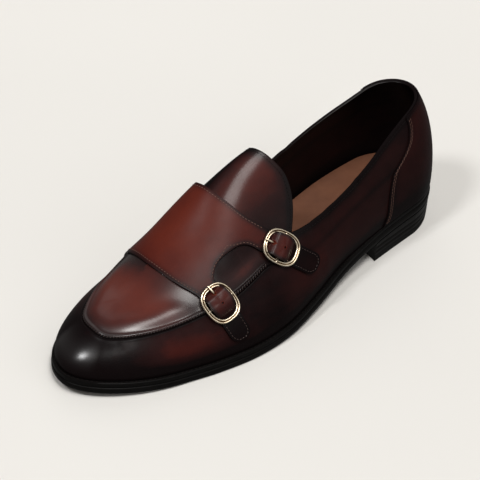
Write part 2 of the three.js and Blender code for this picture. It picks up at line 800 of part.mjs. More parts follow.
const LEATHER = { color: 0x4a1d14, roughness: 0.32, metalness: 0 };
const DARK_LEATHER = { color: 0x2a100c, roughness: 0.34, metalness: 0 };
const SOLE_BLACK = { color: 0x0c0b0b, roughness: 0.45, metalness: 0 };
const LINING = { color: 0x7a3f22, roughness: 0.7, metalness: 0 };
const PALE_BRASS = { color: 0xc9b07a, roughness: 0.25, metalness: 1 };

const shoe = new THREE.Group();

function addPiece(name, geometry, finish) {
  if (!geometry.attributes.normal) geometry.computeVertexNormals();
  const piece = new THREE.Mesh(geometry, new THREE.MeshStandardMaterial(finish));
  piece.name = name;
  shoe.add(piece);
}

addPiece("outsole", makeOutsole(), SOLE_BLACK);
addPiece("heel", makeHeel(), SOLE_BLACK);
addPiece("welt", makeWelt(), SOLE_BLACK);
addPiece("insole", makeInsole(), LINING);
addPiece("upper", makeUpper(), DARK_LEATHER);
addPiece("tongue", makeTongue(), LEATHER);

const axesOf = new Map(STRAPS.map((strap) => [strap, buckleAxes(strap)]));
addPiece("saddle", makeSaddle(axesOf), LEATHER);
for (const strap of STRAPS) {
  const axes = axesOf.get(strap);
  addPiece("buckle_" + strap.name, makeBuckle(axes), PALE_BRASS);
  addPiece("chape_" + strap.name, makeChape(axes), DARK_LEATHER);
  addPiece("prong_" + strap.name, makeProng(axes), PALE_BRASS);
}

// The origin is at the middle of the bottom of the box around the shoe.
const box = new THREE.Box3().setFromObject(shoe);
const middle = box.getCenter(new THREE.Vector3());
shoe.position.set(-middle.x, -middle.y, -box.min.z);

export default shoe;
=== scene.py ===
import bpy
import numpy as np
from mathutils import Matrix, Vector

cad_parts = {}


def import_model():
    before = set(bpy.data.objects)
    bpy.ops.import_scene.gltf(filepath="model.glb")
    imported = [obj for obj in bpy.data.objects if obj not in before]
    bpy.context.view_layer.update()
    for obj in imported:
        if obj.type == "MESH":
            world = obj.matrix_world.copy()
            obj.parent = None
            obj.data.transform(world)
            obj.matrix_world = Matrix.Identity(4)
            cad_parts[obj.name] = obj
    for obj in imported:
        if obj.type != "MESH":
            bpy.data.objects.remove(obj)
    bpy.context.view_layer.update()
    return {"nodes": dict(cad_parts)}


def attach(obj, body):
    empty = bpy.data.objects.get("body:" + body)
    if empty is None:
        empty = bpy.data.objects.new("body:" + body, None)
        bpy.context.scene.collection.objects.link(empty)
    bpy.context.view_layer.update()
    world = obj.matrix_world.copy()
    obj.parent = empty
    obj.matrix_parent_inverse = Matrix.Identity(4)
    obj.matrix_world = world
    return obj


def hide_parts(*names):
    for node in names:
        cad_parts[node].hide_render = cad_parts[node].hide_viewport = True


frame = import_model()

# %% [markdown]
# # A double monk strap shoe
# A dress shoe is leather pulled over a last, the wooden form of a foot. The CAD frame holds the true shape
# of every solid piece: sole, heel, welt, upper, tongue, strap panel and buckles. This script dresses that
# frame. It describes the same last by its formula, lays finer leather on it, sews it, and finishes it.
# A formula is used because leather has no flat faces: each panel is one stretch of the last's surface.

MM = 0.001

# %% [markdown]
# ## The last
# The last is charted by a few sections. Every chart has a row for each section, with its distance from the
# heel, and a smooth curve runs through the rows. Charts are short, so a shoemaker could change them by hand.

# %% Charts of the last, in millimetres
LENGTH = 300
HEEL_ROUND = 34
TOE_ROUND = 60
HEEL_BREAST = 70.4
TREAD_START = 190
TREAD_END = 226
TOE_SPRING = 5
OUTSOLE = 4.8
WELT = 3.4
INSOLE = 2.4
WALL = 1.8
SADDLE = 1.6
TONGUE = 1.8
GAP = 0.3
HEEL_FAN = 34
TOE_FAN = 49
RIB_LENGTH = 95
CREST_ROUNDING = 0.32


def chart(columns, *rows):
    return dict(zip(columns.split(), np.array(rows, float).T))


OUTLINE = chart(
    "at lateral medial",
    (0, 28.4, 29.6), (40, 32.2, 31.0), (70, 35.6, 30.6), (100, 40.3, 28.8), (130, 48.3, 28.8),
    (160, 54.8, 34.8), (190, 55.3, 43.6), (215, 51.3, 46.6), (240, 44.8, 43.6), (270, 38.6, 40.0),
    (300, 32.4, 39.0),
)
ARCH = chart("at height", (0, 17.6), (70, 15.4), (100, 10.9), (140, 4.2), (170, 0.8), (190, 0))
CREST = chart(
    "at height",
    (-10, 114.5), (30, 111), (100, 107.5), (140, 99.6), (170, 84.6), (200, 64), (230, 49), (260, 40),
    (310, 32),
)
RIDGE = chart("at shift", (0, 0), (90, -1), (150, -14), (200, -14), (251, -5), (300, -5))
LATERAL_RIBS = chart(
    "at swell rise crown",
    (0, 2.0, 0.7, 0.29), (40, 2.8, 0.58, 0.3), (100, 3.3, 0.48, 0.28), (150, 3.4, 0.3, 0.25),
    (200, 3.7, 0.38, 0.36), (250, 3.2, 0.48, 0.48), (300, 2.3, 0.6, 0.6),
)
MEDIAL_RIBS = chart(
    "at swell rise crown",
    (0, 2.4, 0.74, 0.3), (40, 3.2, 0.66, 0.31), (100, 5.5, 0.68, 0.34), (150, 3.6, 0.55, 0.4),
    (200, 3.0, 0.5, 0.46), (250, 3.0, 0.5, 0.54), (300, 2.1, 0.6, 0.6),
)
TOPLINE = chart(
    "at lateral medial",
    (0, 94, 94), (33, 90.5, 89.5), (52, 84.5, 83.5), (76, 74.5, 75), (100, 66, 67), (120, 61.5, 61),
    (138, 59.3, 55), (148, 60, 52.3), (155, 60.8, 54.7), (162, 62.8, 59.8), (168, 66.5, 64.9),
    (174, 71.4, 71), (179, 75.4, 75.8), (183, 95, 95),
)
print("the sole is", LENGTH, "mm long and", OUTSOLE, "mm thick")

# %% [markdown]
# ## From charts to a surface
# A *rib* is the line across the last from the edge of the sole up to the crest of the instep. Ribs fan round
# the heel and the toe. Two numbers find any point of the leather: *turn* goes round the sole, from 0 at the
# heel along the outer side to 1 at the toe and on to 2, and *share* climbs the rib, from 0 at the sole to 1.

# %% Reading a chart
def read(table, column, x, key="at"):
    """A smooth curve through one column of a chart."""
    knots, values = table[key], table[column]
    width = np.diff(knots)
    slope = np.diff(values) / width
    inner = (slope[:-1] * width[1:] + slope[1:] * width[:-1]) / (width[:-1] + width[1:])
    tangent = np.concatenate(([slope[0]], inner, [slope[-1]]))
    x = np.clip(x, knots[0], knots[-1])
    i = np.clip(np.searchsorted(knots, x, side="right") - 1, 0, len(knots) - 2)
    h = width[i]
    t = (x - knots[i]) / h
    start = (2 * t**3 - 3 * t**2 + 1) * values[i] + (t**3 - 2 * t**2 + t) * h * tangent[i]
    end = (3 * t**2 - 2 * t**3) * values[i + 1] + (t**3 - t**2) * h * tangent[i + 1]
    return start + end


def mix(a, b, t):
    return a + (b - a) * t


def smooth(x, low, high):
    """Climbs softly from 0 at low to 1 at high."""
    t = np.clip((x - low) / (high - low), 0, 1)
    return t * t * (3 - 2 * t)


def near(x, centre, width):
    """1 at the centre, fading over the width on both sides."""
    return np.exp(-(((x - centre) / width) ** 2))


def soft_clamp(value, low, high, soft=8):
    topped = high - soft * np.logaddexp(0, (high - value) / soft)
    return low + soft * np.logaddexp(0, (topped - low) / soft)


print("100 mm from the heel the sole lies", round(float(read(ARCH, "height", 100.0)), 1), "mm up")

# %% [markdown]
# ## The sole's outline
# The sole is drawn flat, by its width at each distance from the heel. At the heel and at the toe the width is
# rounded off like a quarter of an ellipse. The upper starts a little inside that outline, on top of the welt.

# %% Outline and levels of the sole
def underside(at):
    spring = TOE_SPRING * (np.maximum(0, at - TREAD_END) / (LENGTH - TREAD_END)) ** 1.4
    arch = np.maximum(0, read(ARCH, "height", at))
    return np.where(at >= TREAD_START, spring, arch)


def outline(turn):
    turn = np.asarray(turn, float) % 2
    along = np.where(turn <= 1, turn, 2 - turn)
    at = LENGTH / 2 * (1 - np.cos(np.pi * along))
    heel = np.maximum(0, 1 - at / HEEL_ROUND)
    toe = np.maximum(0, (at - LENGTH + TOE_ROUND) / TOE_ROUND)
    rounding = np.sqrt(np.maximum(0, 1 - heel**2)) * np.sqrt(np.maximum(0, 1 - toe**2))
    x = np.where(turn <= 1, read(OUTLINE, "lateral", at), -read(OUTLINE, "medial", at))
    return np.stack([x * rounding, at], -1)


def inset_outline(turn, inset):
    step = 1e-3
    tangent = outline(turn + step) - outline(turn - step)
    tangent /= np.linalg.norm(tangent, axis=-1, keepdims=True)
    inward = np.stack([-tangent[..., 1], tangent[..., 0]], -1)
    return outline(turn) + inward * np.asarray(inset)[..., None]


def feather_inset(at):
    return mix(0.9, 2.5, np.clip((at - 60) / 50, 0, 1))


def feather_level(at):
    return underside(at) + OUTSOLE + GAP + WELT + GAP


print("at the heel the upper starts", round(float(feather_level(0.0)), 1), "mm above the ground")

# %% [markdown]
# ## One rib
# A rib is a curve with four control points. They lie at the sole, out by the swell, in at the crown, and on
# the crest. A last could also be sculpted, but a chart of ribs can be read, checked and changed by numbers.

# %% A rib of the last
def rib(turn, share):
    """A point on the outside of the upper as (x, from the heel, height)."""
    turn, share = np.broadcast_arrays(np.asarray(turn, float) % 2, share)
    along = np.where(turn <= 1, turn, 2 - turn)
    at = LENGTH / 2 * (1 - np.cos(np.pi * along))
    foot = inset_outline(turn, feather_inset(at))
    ridge_at = soft_clamp(at, HEEL_FAN, LENGTH - TOE_FAN)
    inward = np.stack([read(RIDGE, "shift", ridge_at), ridge_at], -1) - foot
    reach = np.linalg.norm(inward, axis=-1)
    inward /= reach[..., None]
    outer_share = (1 - inward[..., 0]) / 2
    swell, rise, crown = (
        mix(read(MEDIAL_RIBS, column, at), read(LATERAL_RIBS, column, at), outer_share)
        for column in ("swell", "rise", "crown")
    )
    # The inner side of the instep is rounded off, so that the crest is no sharp fold.
    instep = smooth(at, 60, 110) * (1 - smooth(at, 190, 225))
    crown = crown + CREST_ROUNDING * (1 - outer_share) * instep * smooth(share, 0.5, 0.92)
    b1 = 3 * (1 - share) ** 2 * share
    b2 = 3 * (1 - share) * share**2
    b3 = share**3
    across = b1 * -1.6 * swell + b2 * reach * (1 - crown) + b3 * reach
    place = foot + inward * across[..., None]
    base = feather_level(foot[..., 1])
    height = base + (read(CREST, "height", place[..., 1]) - base) * (b1 * rise + b2 + b3)
    return np.concatenate([place, height[..., None]], -1)


def station(at):
    """The turn, on the outer side, of a distance from the heel."""
    return np.arccos(1 - 2 * np.clip(at, 0, LENGTH) / LENGTH) / np.pi


def distance(turn):
    """The station's distance from the heel, on either side."""
    return LENGTH / 2 * (1 - np.cos(np.pi * np.asarray(turn)))


print("the ball of the foot is at turn", round(float(station(215)), 2))

# %% [markdown]
# ## Places on the leather
# Every piece asks for its places in one of two ways: by turn and share, or by the distance from the heel and
# *over*, which goes from the inner edge of the sole over the crest to the outer edge. Both can be lifted off
# the surface, so that one skin lies on another.

# %% Places on the last
rim = outline(np.linspace(0, 2, 2001))[:, 0]
CENTRE_X = (rim.max() + rim.min()) / 2


def world(points):
    """Shoemaker's millimetres to the model's own: toe towards -Y, origin under the middle."""
    points = np.asarray(points)
    return np.stack([points[..., 0] - CENTRE_X, LENGTH / 2 - points[..., 1], points[..., 2]], -1)


def on_last(turn, share, lift=0.0):
    """World points in mm on the upper, lifted off it along its normal."""
    step = 2e-3
    low = np.minimum(share, 1 - 2 * step)
    along = world(rib(turn + step, low)) - world(rib(turn - step, low))
    up = world(rib(turn, low + step)) - world(rib(turn, low - step))
    out = np.cross(up, along)
    out /= np.linalg.norm(out, axis=-1, keepdims=True)
    return world(rib(turn, share)) + out * np.asarray(lift)[..., None]


def by_over(at, over, lift=0.0):
    """The same by distance from the heel and by over, from -1 at the inner sole edge to 1 at the outer."""
    at, over, lift = np.broadcast_arrays(at, over, lift)
    turn = np.where(over >= 0, station(at), 2 - station(at))
    return on_last(turn, 1 - np.abs(over), lift)


def outer_side(turn):
    return np.asarray(turn) % 2 <= 1


def top_share(turn):
    """The share at which the upper ends: at the collar, under the strap panel, or on the crest."""
    at = distance(turn)
    height = np.where(outer_side(turn), read(TOPLINE, "lateral", at), read(TOPLINE, "medial", at))
    low = np.zeros_like(at)
    high = np.ones_like(at)
    for _ in range(24):
        middle = (low + high) / 2
        below = rib(turn, middle)[..., 2] < height
        low = np.where(below, middle, low)
        high = np.where(below, high, middle)
    closed = at >= TOPLINE["at"][-1]
    return np.where(closed, 1.0, high)


print("outline's middle lies", round(float(CENTRE_X), 2), "mm to the outer side")

# %% [markdown]
# ## Bench tools
# Each piece starts as a primitive: a grid whose unit square is laid on the last, or a ring. These helpers
# add the primitive, move its points, give the sheet its thickness and round its cut edges, as a maker
# would cut, pull and skive a hide. A finished piece is told which body it rides on.

# %% Adding a grid and moving its points
def deselect():
    bpy.ops.object.select_all(action="DESELECT")


def get_points(piece):
    points = np.empty(len(piece.data.vertices) * 3)
    piece.data.vertices.foreach_get("co", points)
    return points.reshape(-1, 3)


def set_points(piece, points_mm):
    piece.data.vertices.foreach_set("co", (np.asarray(points_mm) * MM).ravel())
    piece.data.update()


def unit_grid(name, columns, rows):
    """A grid with its corners at 0 and 1. Returns the piece and each point's column and row number."""
    deselect()
    bpy.ops.mesh.primitive_grid_add(x_subdivisions=columns - 1, y_subdivisions=rows - 1, size=1)
    piece = bpy.context.object
    piece.name = name
    points = get_points(piece)
    column = np.rint((points[:, 0] + 0.5) * (columns - 1)).astype(int)
    row = np.rint((points[:, 1] + 0.5) * (rows - 1)).astype(int)
    return piece, column, row


def paint(piece, name, values):
    """Stores one number on each point, for the finish to read."""
    layer = piece.data.attributes.new(name, "FLOAT", "POINT")
    layer.data.foreach_set("value", np.asarray(values, np.float32).ravel())


print("grids ready")

# %% [markdown]
# ## Cutting, pulling and skiving
# Edit mode operators act on everything that is selected, so each helper first deselects all. Solidify gives
# a sheet its thickness, as the hide has, and Bevel rounds the cut, as a skiving knife does.

# %% Edit mode, modifiers and the last step for a piece
def edit(piece, *steps):
    """Runs edit mode operators on the whole piece."""
    deselect()
    piece.select_set(True)
    bpy.context.view_layer.objects.active = piece
    bpy.ops.object.mode_set(mode="EDIT")
    bpy.ops.mesh.select_all(action="SELECT")
    for operator, settings in steps:
        operator(**settings)
    bpy.ops.object.mode_set(mode="OBJECT")


def weld(piece, outwards=True):
    steps = [(bpy.ops.mesh.remove_doubles, {"threshold": 0.02 * MM})]
    if outwards:
        steps.append((bpy.ops.mesh.normals_make_consistent, {"inside": False}))
    edit(piece, *steps)


def flip(piece):
    edit(piece, (bpy.ops.mesh.flip_normals, {}))


def look_out(piece, face, direction):
    """Turns a sheet over, unless the given face already looks out."""
    if np.dot(piece.data.polygons[face].normal, direction) < 0:
        flip(piece)


def modify(piece, kind, **settings):
    """Adds a modifier and applies it."""
    deselect()
    piece.select_set(True)
    bpy.context.view_layer.objects.active = piece
    modifier = piece.modifiers.new(kind.title(), kind)
    for name, value in settings.items():
        setattr(modifier, name, value)
    bpy.ops.object.modifier_apply(modifier=modifier.name)


def skive(piece, thickness, rounding=0.35, inside=1, edge=2, outward=False):
    """Gives a sheet its thickness and rounds its cut edges. inside and edge are material numbers."""
    modify(
        piece, "SOLIDIFY", thickness=thickness * MM, offset=1 if outward else -1,
        use_quality_normals=True, material_offset=inside, material_offset_rim=edge,
    )
    if rounding:
        corner = np.radians(55)
        modify(
            piece, "BEVEL", width=rounding * MM, segments=2, limit_method="ANGLE", angle_limit=corner,
            material=edge,
        )


def shade(piece, angle=38):
    deselect()
    piece.select_set(True)
    bpy.context.view_layer.objects.active = piece
    bpy.ops.object.shade_smooth_by_angle(angle=np.radians(angle))


def hand_over(piece, slot, *nodes, finishes=(), angle=38):
    """The last step for every piece: materials, shading, and its place in the frame."""
    for finish in finishes:
        piece.data.materials.append(finish)
    shade(piece, angle)
    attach(piece, "root")
    if nodes:
        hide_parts(*nodes)
    size = (get_points(piece).max(0) - get_points(piece).min(0)) / MM
    print(f"{piece.name}: {len(piece.data.polygons)} faces, {size.round(1).tolist()} mm")
    return piece


print("bench ready")

# %% [markdown]
# ## Shader maths
# A finish is a small network of nodes. Wrapping a node's output in a class that knows +, - and * lets the
# network be written as the sum it is, and Blender still gets its Math nodes.

# %% A small language for finishes
class Wire:
    """One output of a node, usable in a Python expression."""

    def __init__(self, finish, socket):
        self.finish = finish
        self.socket = socket

    def maths(self, operation, *values):
        return self.finish.node("ShaderNodeMath", {"operation": operation}, dict(enumerate(values)))

    def __add__(self, other):
        return self.maths("ADD", self, other)

    def __sub__(self, other):
        return self.maths("SUBTRACT", self, other)

    def __mul__(self, other):
        return self.maths("MULTIPLY", self, other)

    def __rsub__(self, other):
        return self.maths("SUBTRACT", other, self)

    __radd__ = __add__
    __rmul__ = __mul__


print("sums of sockets ready")

# %% [markdown]
# ## One method for every node
# The Finish class holds one material. Its node method takes a node's type, then its settings, then the
# values or links of its sockets, so that every finish below reads as a short list of what it is made of.

# %% A material under construction
def ramp_stops(node, count):
    elements = node.color_ramp.elements
    while len(elements) < count:
        elements.new(0.5)
    return list(elements)


class Finish:
    """A material under construction."""

    def __init__(self, name):
        self.material = bpy.data.materials.new(name)
        self.material.use_nodes = True
        self.nodes = self.material.node_tree.nodes
        self.links = self.material.node_tree.links
        self.shader = self.nodes["Principled BSDF"]

    def connect(self, socket, value):
        if isinstance(value, Wire):
            self.links.new(value.socket, socket)
        else:
            socket.default_value = value

    def node(self, kind, settings=None, inputs=None, output=0):
        made = self.nodes.new(kind)
        for name, value in (settings or {}).items():
            if name == "stops":
                for stop, (position, colour) in zip(ramp_stops(made, len(value)), value):
                    stop.position = position
                    stop.color = (*colour, 1)
            else:
                setattr(made, name, value)
        for name, value in (inputs or {}).items():
            self.connect(made.inputs[name], value)
        return Wire(self, made.outputs[output])

    def noise(self, scale, detail=3.0, roughness=0.55, stretch=None):
        place = self.node("ShaderNodeTexCoord", output="Object")
        if stretch:
            place = self.node("ShaderNodeMapping", None, {"Vector": place, "Scale": stretch})
        sockets = {"Vector": place, "Scale": scale, "Detail": detail, "Roughness": roughness}
        return self.node("ShaderNodeTexNoise", None, sockets)

    def painted(self, name):
        return self.node("ShaderNodeAttribute", {"attribute_name": name}, output="Fac")

    def ramp(self, factor, *stops):
        return self.node("ShaderNodeValToRGB", {"stops": stops}, {"Fac": factor})

    def bump(self, height, distance, strength=1.0):
        sockets = {"Height": height, "Distance": distance, "Strength": strength}
        return self.node("ShaderNodeBump", None, sockets)

    def set(self, **sockets):
        for name, value in sockets.items():
            self.connect(self.shader.inputs[name.replace("_", " ")], value)
        return self.material


print("finish tools ready")

# %% [markdown]
# ## Polished calf with a patina
# The leather is dyed red-brown and then burnished: dark cream is worked into the edges, seams, toe and heel
# until they are almost black. Each panel's points carry one number that says how dark the leather is. It
# holds the cream, together with painted shade where a side turns away from the lamps or lies beside an
# overlapping edge, and a few painted highlights. One ramp turns it into colour. A second number, *polish*,
# says how thick the wax lies over it, and drives the shader's clear coat. Fine pores break up the gloss.

# %% Calf
RED_BROWN = (0.110, 0.018, 0.010)
OXBLOOD = (0.058, 0.0095, 0.0066)
DEEP_BROWN = (0.018, 0.005, 0.0048)
NEAR_BLACK = (0.0045, 0.0026, 0.0028)


def make_calf(name, shine=0.40, glaze=0.25):
    calf = Finish(name)
    clouds = calf.noise(34, 4, 0.6)
    strokes = calf.noise(75, 4, 0.6, (1.0, 0.3, 1.0))
    dark = calf.painted("burnish") + (clouds - 0.5) * 0.34 + (strokes - 0.5) * 0.3
    colour = calf.ramp(dark, (0.0, RED_BROWN), (0.36, OXBLOOD), (0.68, DEEP_BROWN), (1.0, NEAR_BLACK))
    pores = calf.noise(1800, 2, 0.6)
    grain = calf.noise(700, 3, 0.65)
    cream = calf.noise(130, 2, 0.5)
    polish = calf.painted("polish")
    normal = calf.bump(grain * 0.5 + pores * 0.7, 0.0002, 0.7)
    return calf.set(
        Base_Color=colour, Roughness=shine + (cream - 0.5) * 0.14 + (pores - 0.5) * 0.2, Normal=normal,
        Coat_Weight=polish + (cream - 0.5) * 0.1, Coat_Roughness=glaze, Specular_IOR_Level=0.03,
    )


calf = make_calf("polished_calf")
strap_calf = make_calf("strap_calf", 0.40, 0.34)
tongue_calf = make_calf("tongue_calf", 0.36, 0.17)
print("calf finishes:", calf.name, strap_calf.name, tongue_calf.name)

# %% [markdown]
# ## Lining, edges and thread
# The lining and the sock are plain russet leather, matt and a little worn. Cut edges are inked dark or left
# raw, and the number *raw* on the points says which. The sole's edge is waxed black. Each of these needs
# only one or two noises, because nothing larger than a fibre shows on it.

# %% Lining, edge and thread finishes
INKED = (0.014, 0.006, 0.005)
RAW_LEATHER = (0.30, 0.19, 0.14)


def make_lining(name, colour, dark):
    lining = Finish(name)
    fibres = lining.noise(300, 4, 0.65)
    wear = lining.noise(45, 3, 0.5)
    tone = lining.ramp(wear * 0.7 + fibres * 0.3, (0.25, dark), (0.75, colour))
    roughness = 0.62 + (fibres - 0.5) * 0.2
    return lining.set(Base_Color=tone, Roughness=roughness, Normal=lining.bump(fibres, 0.00012, 0.5))


def make_edge(name, colour, shine, gloss=0.1):
    edge = Finish(name)
    wax = edge.noise(220, 3, 0.6)
    lines = edge.noise(900, 2, 0.5, (0.15, 0.15, 1.6))
    tone = edge.ramp(wax, (0.2, tuple(0.6 * c for c in colour)), (0.8, colour))
    normal = edge.bump(lines + wax, 0.00008, 0.6)
    roughness = shine + (wax - 0.5) * 0.15
    return edge.set(Base_Color=tone, Roughness=roughness, Normal=normal, Specular_IOR_Level=gloss)


def make_raw_edge(name):
    """The cut edge of a panel: pale where the leather was left raw, dark where it was inked."""
    edge = Finish(name)
    fibres = edge.noise(500, 3, 0.6)
    tone = edge.ramp(edge.painted("raw") + (fibres - 0.5) * 0.3, (0.1, INKED), (0.9, RAW_LEATHER))
    return edge.set(Base_Color=tone, Roughness=0.55 + (fibres - 0.5) * 0.2, Specular_IOR_Level=0.2)


lining_leather = make_lining("lining_leather", (0.12, 0.045, 0.022), (0.06, 0.02, 0.01))
sock_leather = make_lining("sock_leather", (0.16, 0.06, 0.028), (0.10, 0.036, 0.017))
cut_edge = make_raw_edge("cut_edge")
sole_edge = make_edge("black_sole_edge", (0.0045, 0.004, 0.0038), 0.36, 0.07)
sole_bottom = make_edge("sole_bottom", (0.035, 0.02, 0.012), 0.5)
heel_rubber = make_edge("heel_rubber", (0.008, 0.008, 0.008), 0.6)
thread = make_edge("dark_thread", (0.006, 0.0035, 0.0035), 0.5)
waxed_thread = make_edge("waxed_thread", (0.05, 0.027, 0.023), 0.35, 0.5)
light_thread = make_edge("brown_thread", (0.17, 0.09, 0.07), 0.5)
print("edge finishes:", cut_edge.name, sole_edge.name, sole_bottom.name, heel_rubber.name)

# %% [markdown]
# ## Pale brass
# The buckles are a pale, champagne coloured brass with a high polish. Metal has no colour of its own beyond
# its reflections, so a little unevenness in its roughness is what makes it look handled. The number *groove*
# on the frames' points darkens the colour in the groove between the two ridges: that is painted shade.

# %% Metal finish
TARNISH_AND_GROOVE_SHADE = (0.20, 0.12, 0.06)
BRASS = (0.80, 0.66, 0.47)
RUBBED_BRASS = (0.93, 0.83, 0.66)


def make_brass():
    brass = Finish("pale_brass")
    handling = brass.noise(260, 3, 0.6)
    handling_less_groove_shade = handling - brass.painted("groove") * 0.75
    tone = brass.ramp(handling_less_groove_shade, (0.0, TARNISH_AND_GROOVE_SHADE), (0.3, BRASS), (0.7, RUBBED_BRASS))
    return brass.set(Base_Color=tone, Metallic=1.0, Roughness=0.3 + (handling - 0.5) * 0.16)


pale_brass = make_brass()
print("metal finish:", pale_brass.name)

# %% [markdown]
# ## Camera
# The camera looks down on the shoe from in front of its outer side, with a long lens, which keeps the toe
# from looking too big. It could be turned by Euler angles, but three axes worked out from its azimuth,
# elevation and roll say plainly where it looks.

# %% Camera
AZIMUTH = 47.21
ELEVATION = 39.47
ROLL = 1.74
CAMERA_DISTANCE = 2090.35
FOCAL_LENGTH = 252
AIM = (-1.5, 154.8, 40.0)


def aim_camera():
    azimuth, elevation, roll = (np.radians(angle) for angle in (AZIMUTH, ELEVATION, ROLL))
    level = np.cos(elevation)
    back = Vector((np.sin(azimuth) * level, -np.cos(azimuth) * level, np.sin(elevation)))
    right = Vector((np.cos(azimuth), np.sin(azimuth), 0))
    up = back.cross(right)
    side = right * np.cos(roll) + up * np.sin(roll)
    top = up * np.cos(roll) - right * np.sin(roll)
    place = Vector(world(AIM) * MM) + back * CAMERA_DISTANCE * MM
    deselect()
    bpy.ops.object.camera_add(location=place)
    camera = bpy.context.object
    camera.name = "camera"
    camera.data.lens = FOCAL_LENGTH
    camera.data.sensor_width = 36
    camera.rotation_mode = "QUATERNION"
    camera.rotation_quaternion = Matrix((side, top, back)).transposed().to_quaternion()
    bpy.context.scene.camera = camera


aim_camera()
print("camera stands", CAMERA_DISTANCE, "mm away with a", FOCAL_LENGTH, "mm lens")

# %% [markdown]
# ## Floor
# The shoe stands on a sheet of pale paper. A plane is enough for it, and a slow noise keeps its tone from
# being quite even. Waxed leather would mirror the bright sheet and turn grey, so reflections don't see it.

# %% Floor
PAPER = (0.745, 0.727, 0.696)
PALE_PAPER = (0.765, 0.747, 0.716)


def make_floor():
    paper = Finish("pale_paper")
    fibre = paper.noise(3, 2, 0.5)
    tone = paper.ramp(fibre, (0.3, PAPER), (0.7, PALE_PAPER))
    material = paper.set(Base_Color=tone, Roughness=0.9, Specular_IOR_Level=0.1)
    deselect()
    bpy.ops.mesh.primitive_plane_add(size=30)
    floor = bpy.context.object
    floor.name = "floor"
    floor.data.materials.append(material)
    floor.visible_glossy = False


make_floor()
print("floor laid")

# %% [markdown]
# ## Lights
# Two softboxes above the outer side light the apron and the straps, two wide weak ones open the shadows,
# and a small one in front puts the spot on the toe. Suns are used for all of them: a sun lights every view
# of the shoe alike, and its angle is the softness of a studio light's shadow.

# %% Lights and the room
LIGHTS = (
    ("front_softbox", (0.387, -0.206, 0.899), 1.4, 14, (1, 0.985, 0.96)),
    ("overhead_softbox", (0.30, 0.05, 0.95), 0.55, 16, (1, 0.985, 0.96)),
    ("side_fill", (0.807, 0.142, 0.574), 0.4, 50, (1, 1, 1)),
    ("back_softbox", (-0.54, 0.45, 0.71), 0.3, 45, (1, 0.99, 0.97)),
    ("toe_light", (-0.02, -0.54, 0.84), 0.95, 10, (1, 1, 1)),
)
ROOM_COLOUR = (1.0, 0.985, 0.955, 1)
ROOM_STRENGTH = 0.2


def add_sun(name, direction, strength, softness, colour):
    """A distant round light. softness is how wide it looks, in degrees."""
    deselect()
    bpy.ops.object.light_add(type="SUN", location=Vector(direction) * 2)
    sun = bpy.context.object
    sun.name = name
    sun.data.energy = strength
    sun.data.angle = np.radians(softness)
    sun.data.color = colour
    sun.rotation_euler = Vector(direction).to_track_quat("Z", "Y").to_euler()


def fill_room():
    room = bpy.data.worlds.new("white_room")
    room.use_nodes = True
    background = room.node_tree.nodes["Background"]
    background.inputs["Color"].default_value = ROOM_COLOUR
    background.inputs["Strength"].default_value = ROOM_STRENGTH
    bpy.context.scene.world = room


for light in LIGHTS:
    add_sun(*light)
fill_room()
bpy.context.scene.view_settings.view_transform = "Standard"
print(len(LIGHTS), "lights set")

# %% [markdown]
# ## Stitches
# A stitch is a short bead of thread sunk halfway into the leather. One bead is modelled from a small sphere
# with few faces and then copied along a seam. An array on a curve could copy it too, but would not lean each
# bead with the leather. All stitches of a seam are one mesh, because there are hundreds of them.

# %% One bead of thread
def model_bead():
    deselect()
    bpy.ops.mesh.primitive_uv_sphere_add(segments=6, ring_count=5, radius=1)
    bead = bpy.context.object
    faces = [tuple(face.vertices) for face in bead.data.polygons]
    points = get_points(bead)
    bpy.data.objects.remove(bead)
    return points, faces


BEAD_POINTS, BEAD_FACES = model_bead()
print("a stitch has", len(BEAD_FACES), "faces")

# %% [markdown]
# ## Walking along a seam
# Stitches keep an even pitch. So a seam is first measured, and then walked in equal steps that also give the
# seam's direction and the way out of the leather, from which each bead takes its lean.

# %% Even places along a seam
def measure(path):
    steps = np.linalg.norm(np.diff(path, axis=0), axis=1)
    return np.concatenate([[0], np.cumsum(steps)])


def walk(path, pitch):
    """Even places along a path, with the direction there."""
    run = measure(path)
    count = max(2, int(run[-1] / pitch))
    at = (np.arange(count) + 0.5) * run[-1] / count
    step = 0.3
    place = np.stack([np.interp(at, run, path[:, i]) for i in range(3)], -1)
    ahead = np.stack([np.interp(at + step, run, path[:, i]) for i in range(3)], -1)
    behind = np.stack([np.interp(at - step, run, path[:, i]) for i in range(3)], -1)
    direction = ahead - behind
    return place, direction / np.linalg.norm(direction, axis=1, keepdims=True)


def walk_values(path, values, count):
    run = measure(path)
    at = (np.arange(count) + 0.5) * run[-1] / count
    found = np.stack([np.interp(at, run, values[:, i]) for i in range(3)], -1)
    return found / np.linalg.norm(found, axis=1, keepdims=True)


print("outline's length is", round(float(measure(outline(np.linspace(0, 2, 500)))[-1])), "mm")

# %% [markdown]
# ## Sewing a seam
# The copies' points and faces are listed and made one mesh in one go. Joining hundreds of objects by an
# operator would give the same mesh, but slowly.

# %% Many beads as one piece
def beads(paths, pitch=2.4, length=1.7, width=0.5, height=0.42, slant=0.0):
    """Points and faces of the stitches of some paths. A path holds its points and its normals."""
    points, faces = [], []
    for path, normals in paths:
        place, along = walk(path, pitch)
        upright = walk_values(path, normals, len(place))
        across = np.cross(upright, along)
        turned = along * np.cos(slant) + across * np.sin(slant)
        side = across * np.cos(slant) - along * np.sin(slant)
        for p, a, s, n in zip(place, turned, side, upright):
            first = len(points) * len(BEAD_POINTS)
            x, y, z = (BEAD_POINTS[:, i, None] for i in range(3))
            points.append(p + z * a * length / 2 + x * s * width / 2 + y * n * height)
            faces.extend(tuple(i + first for i in face) for face in BEAD_FACES)
    return np.concatenate(points), faces


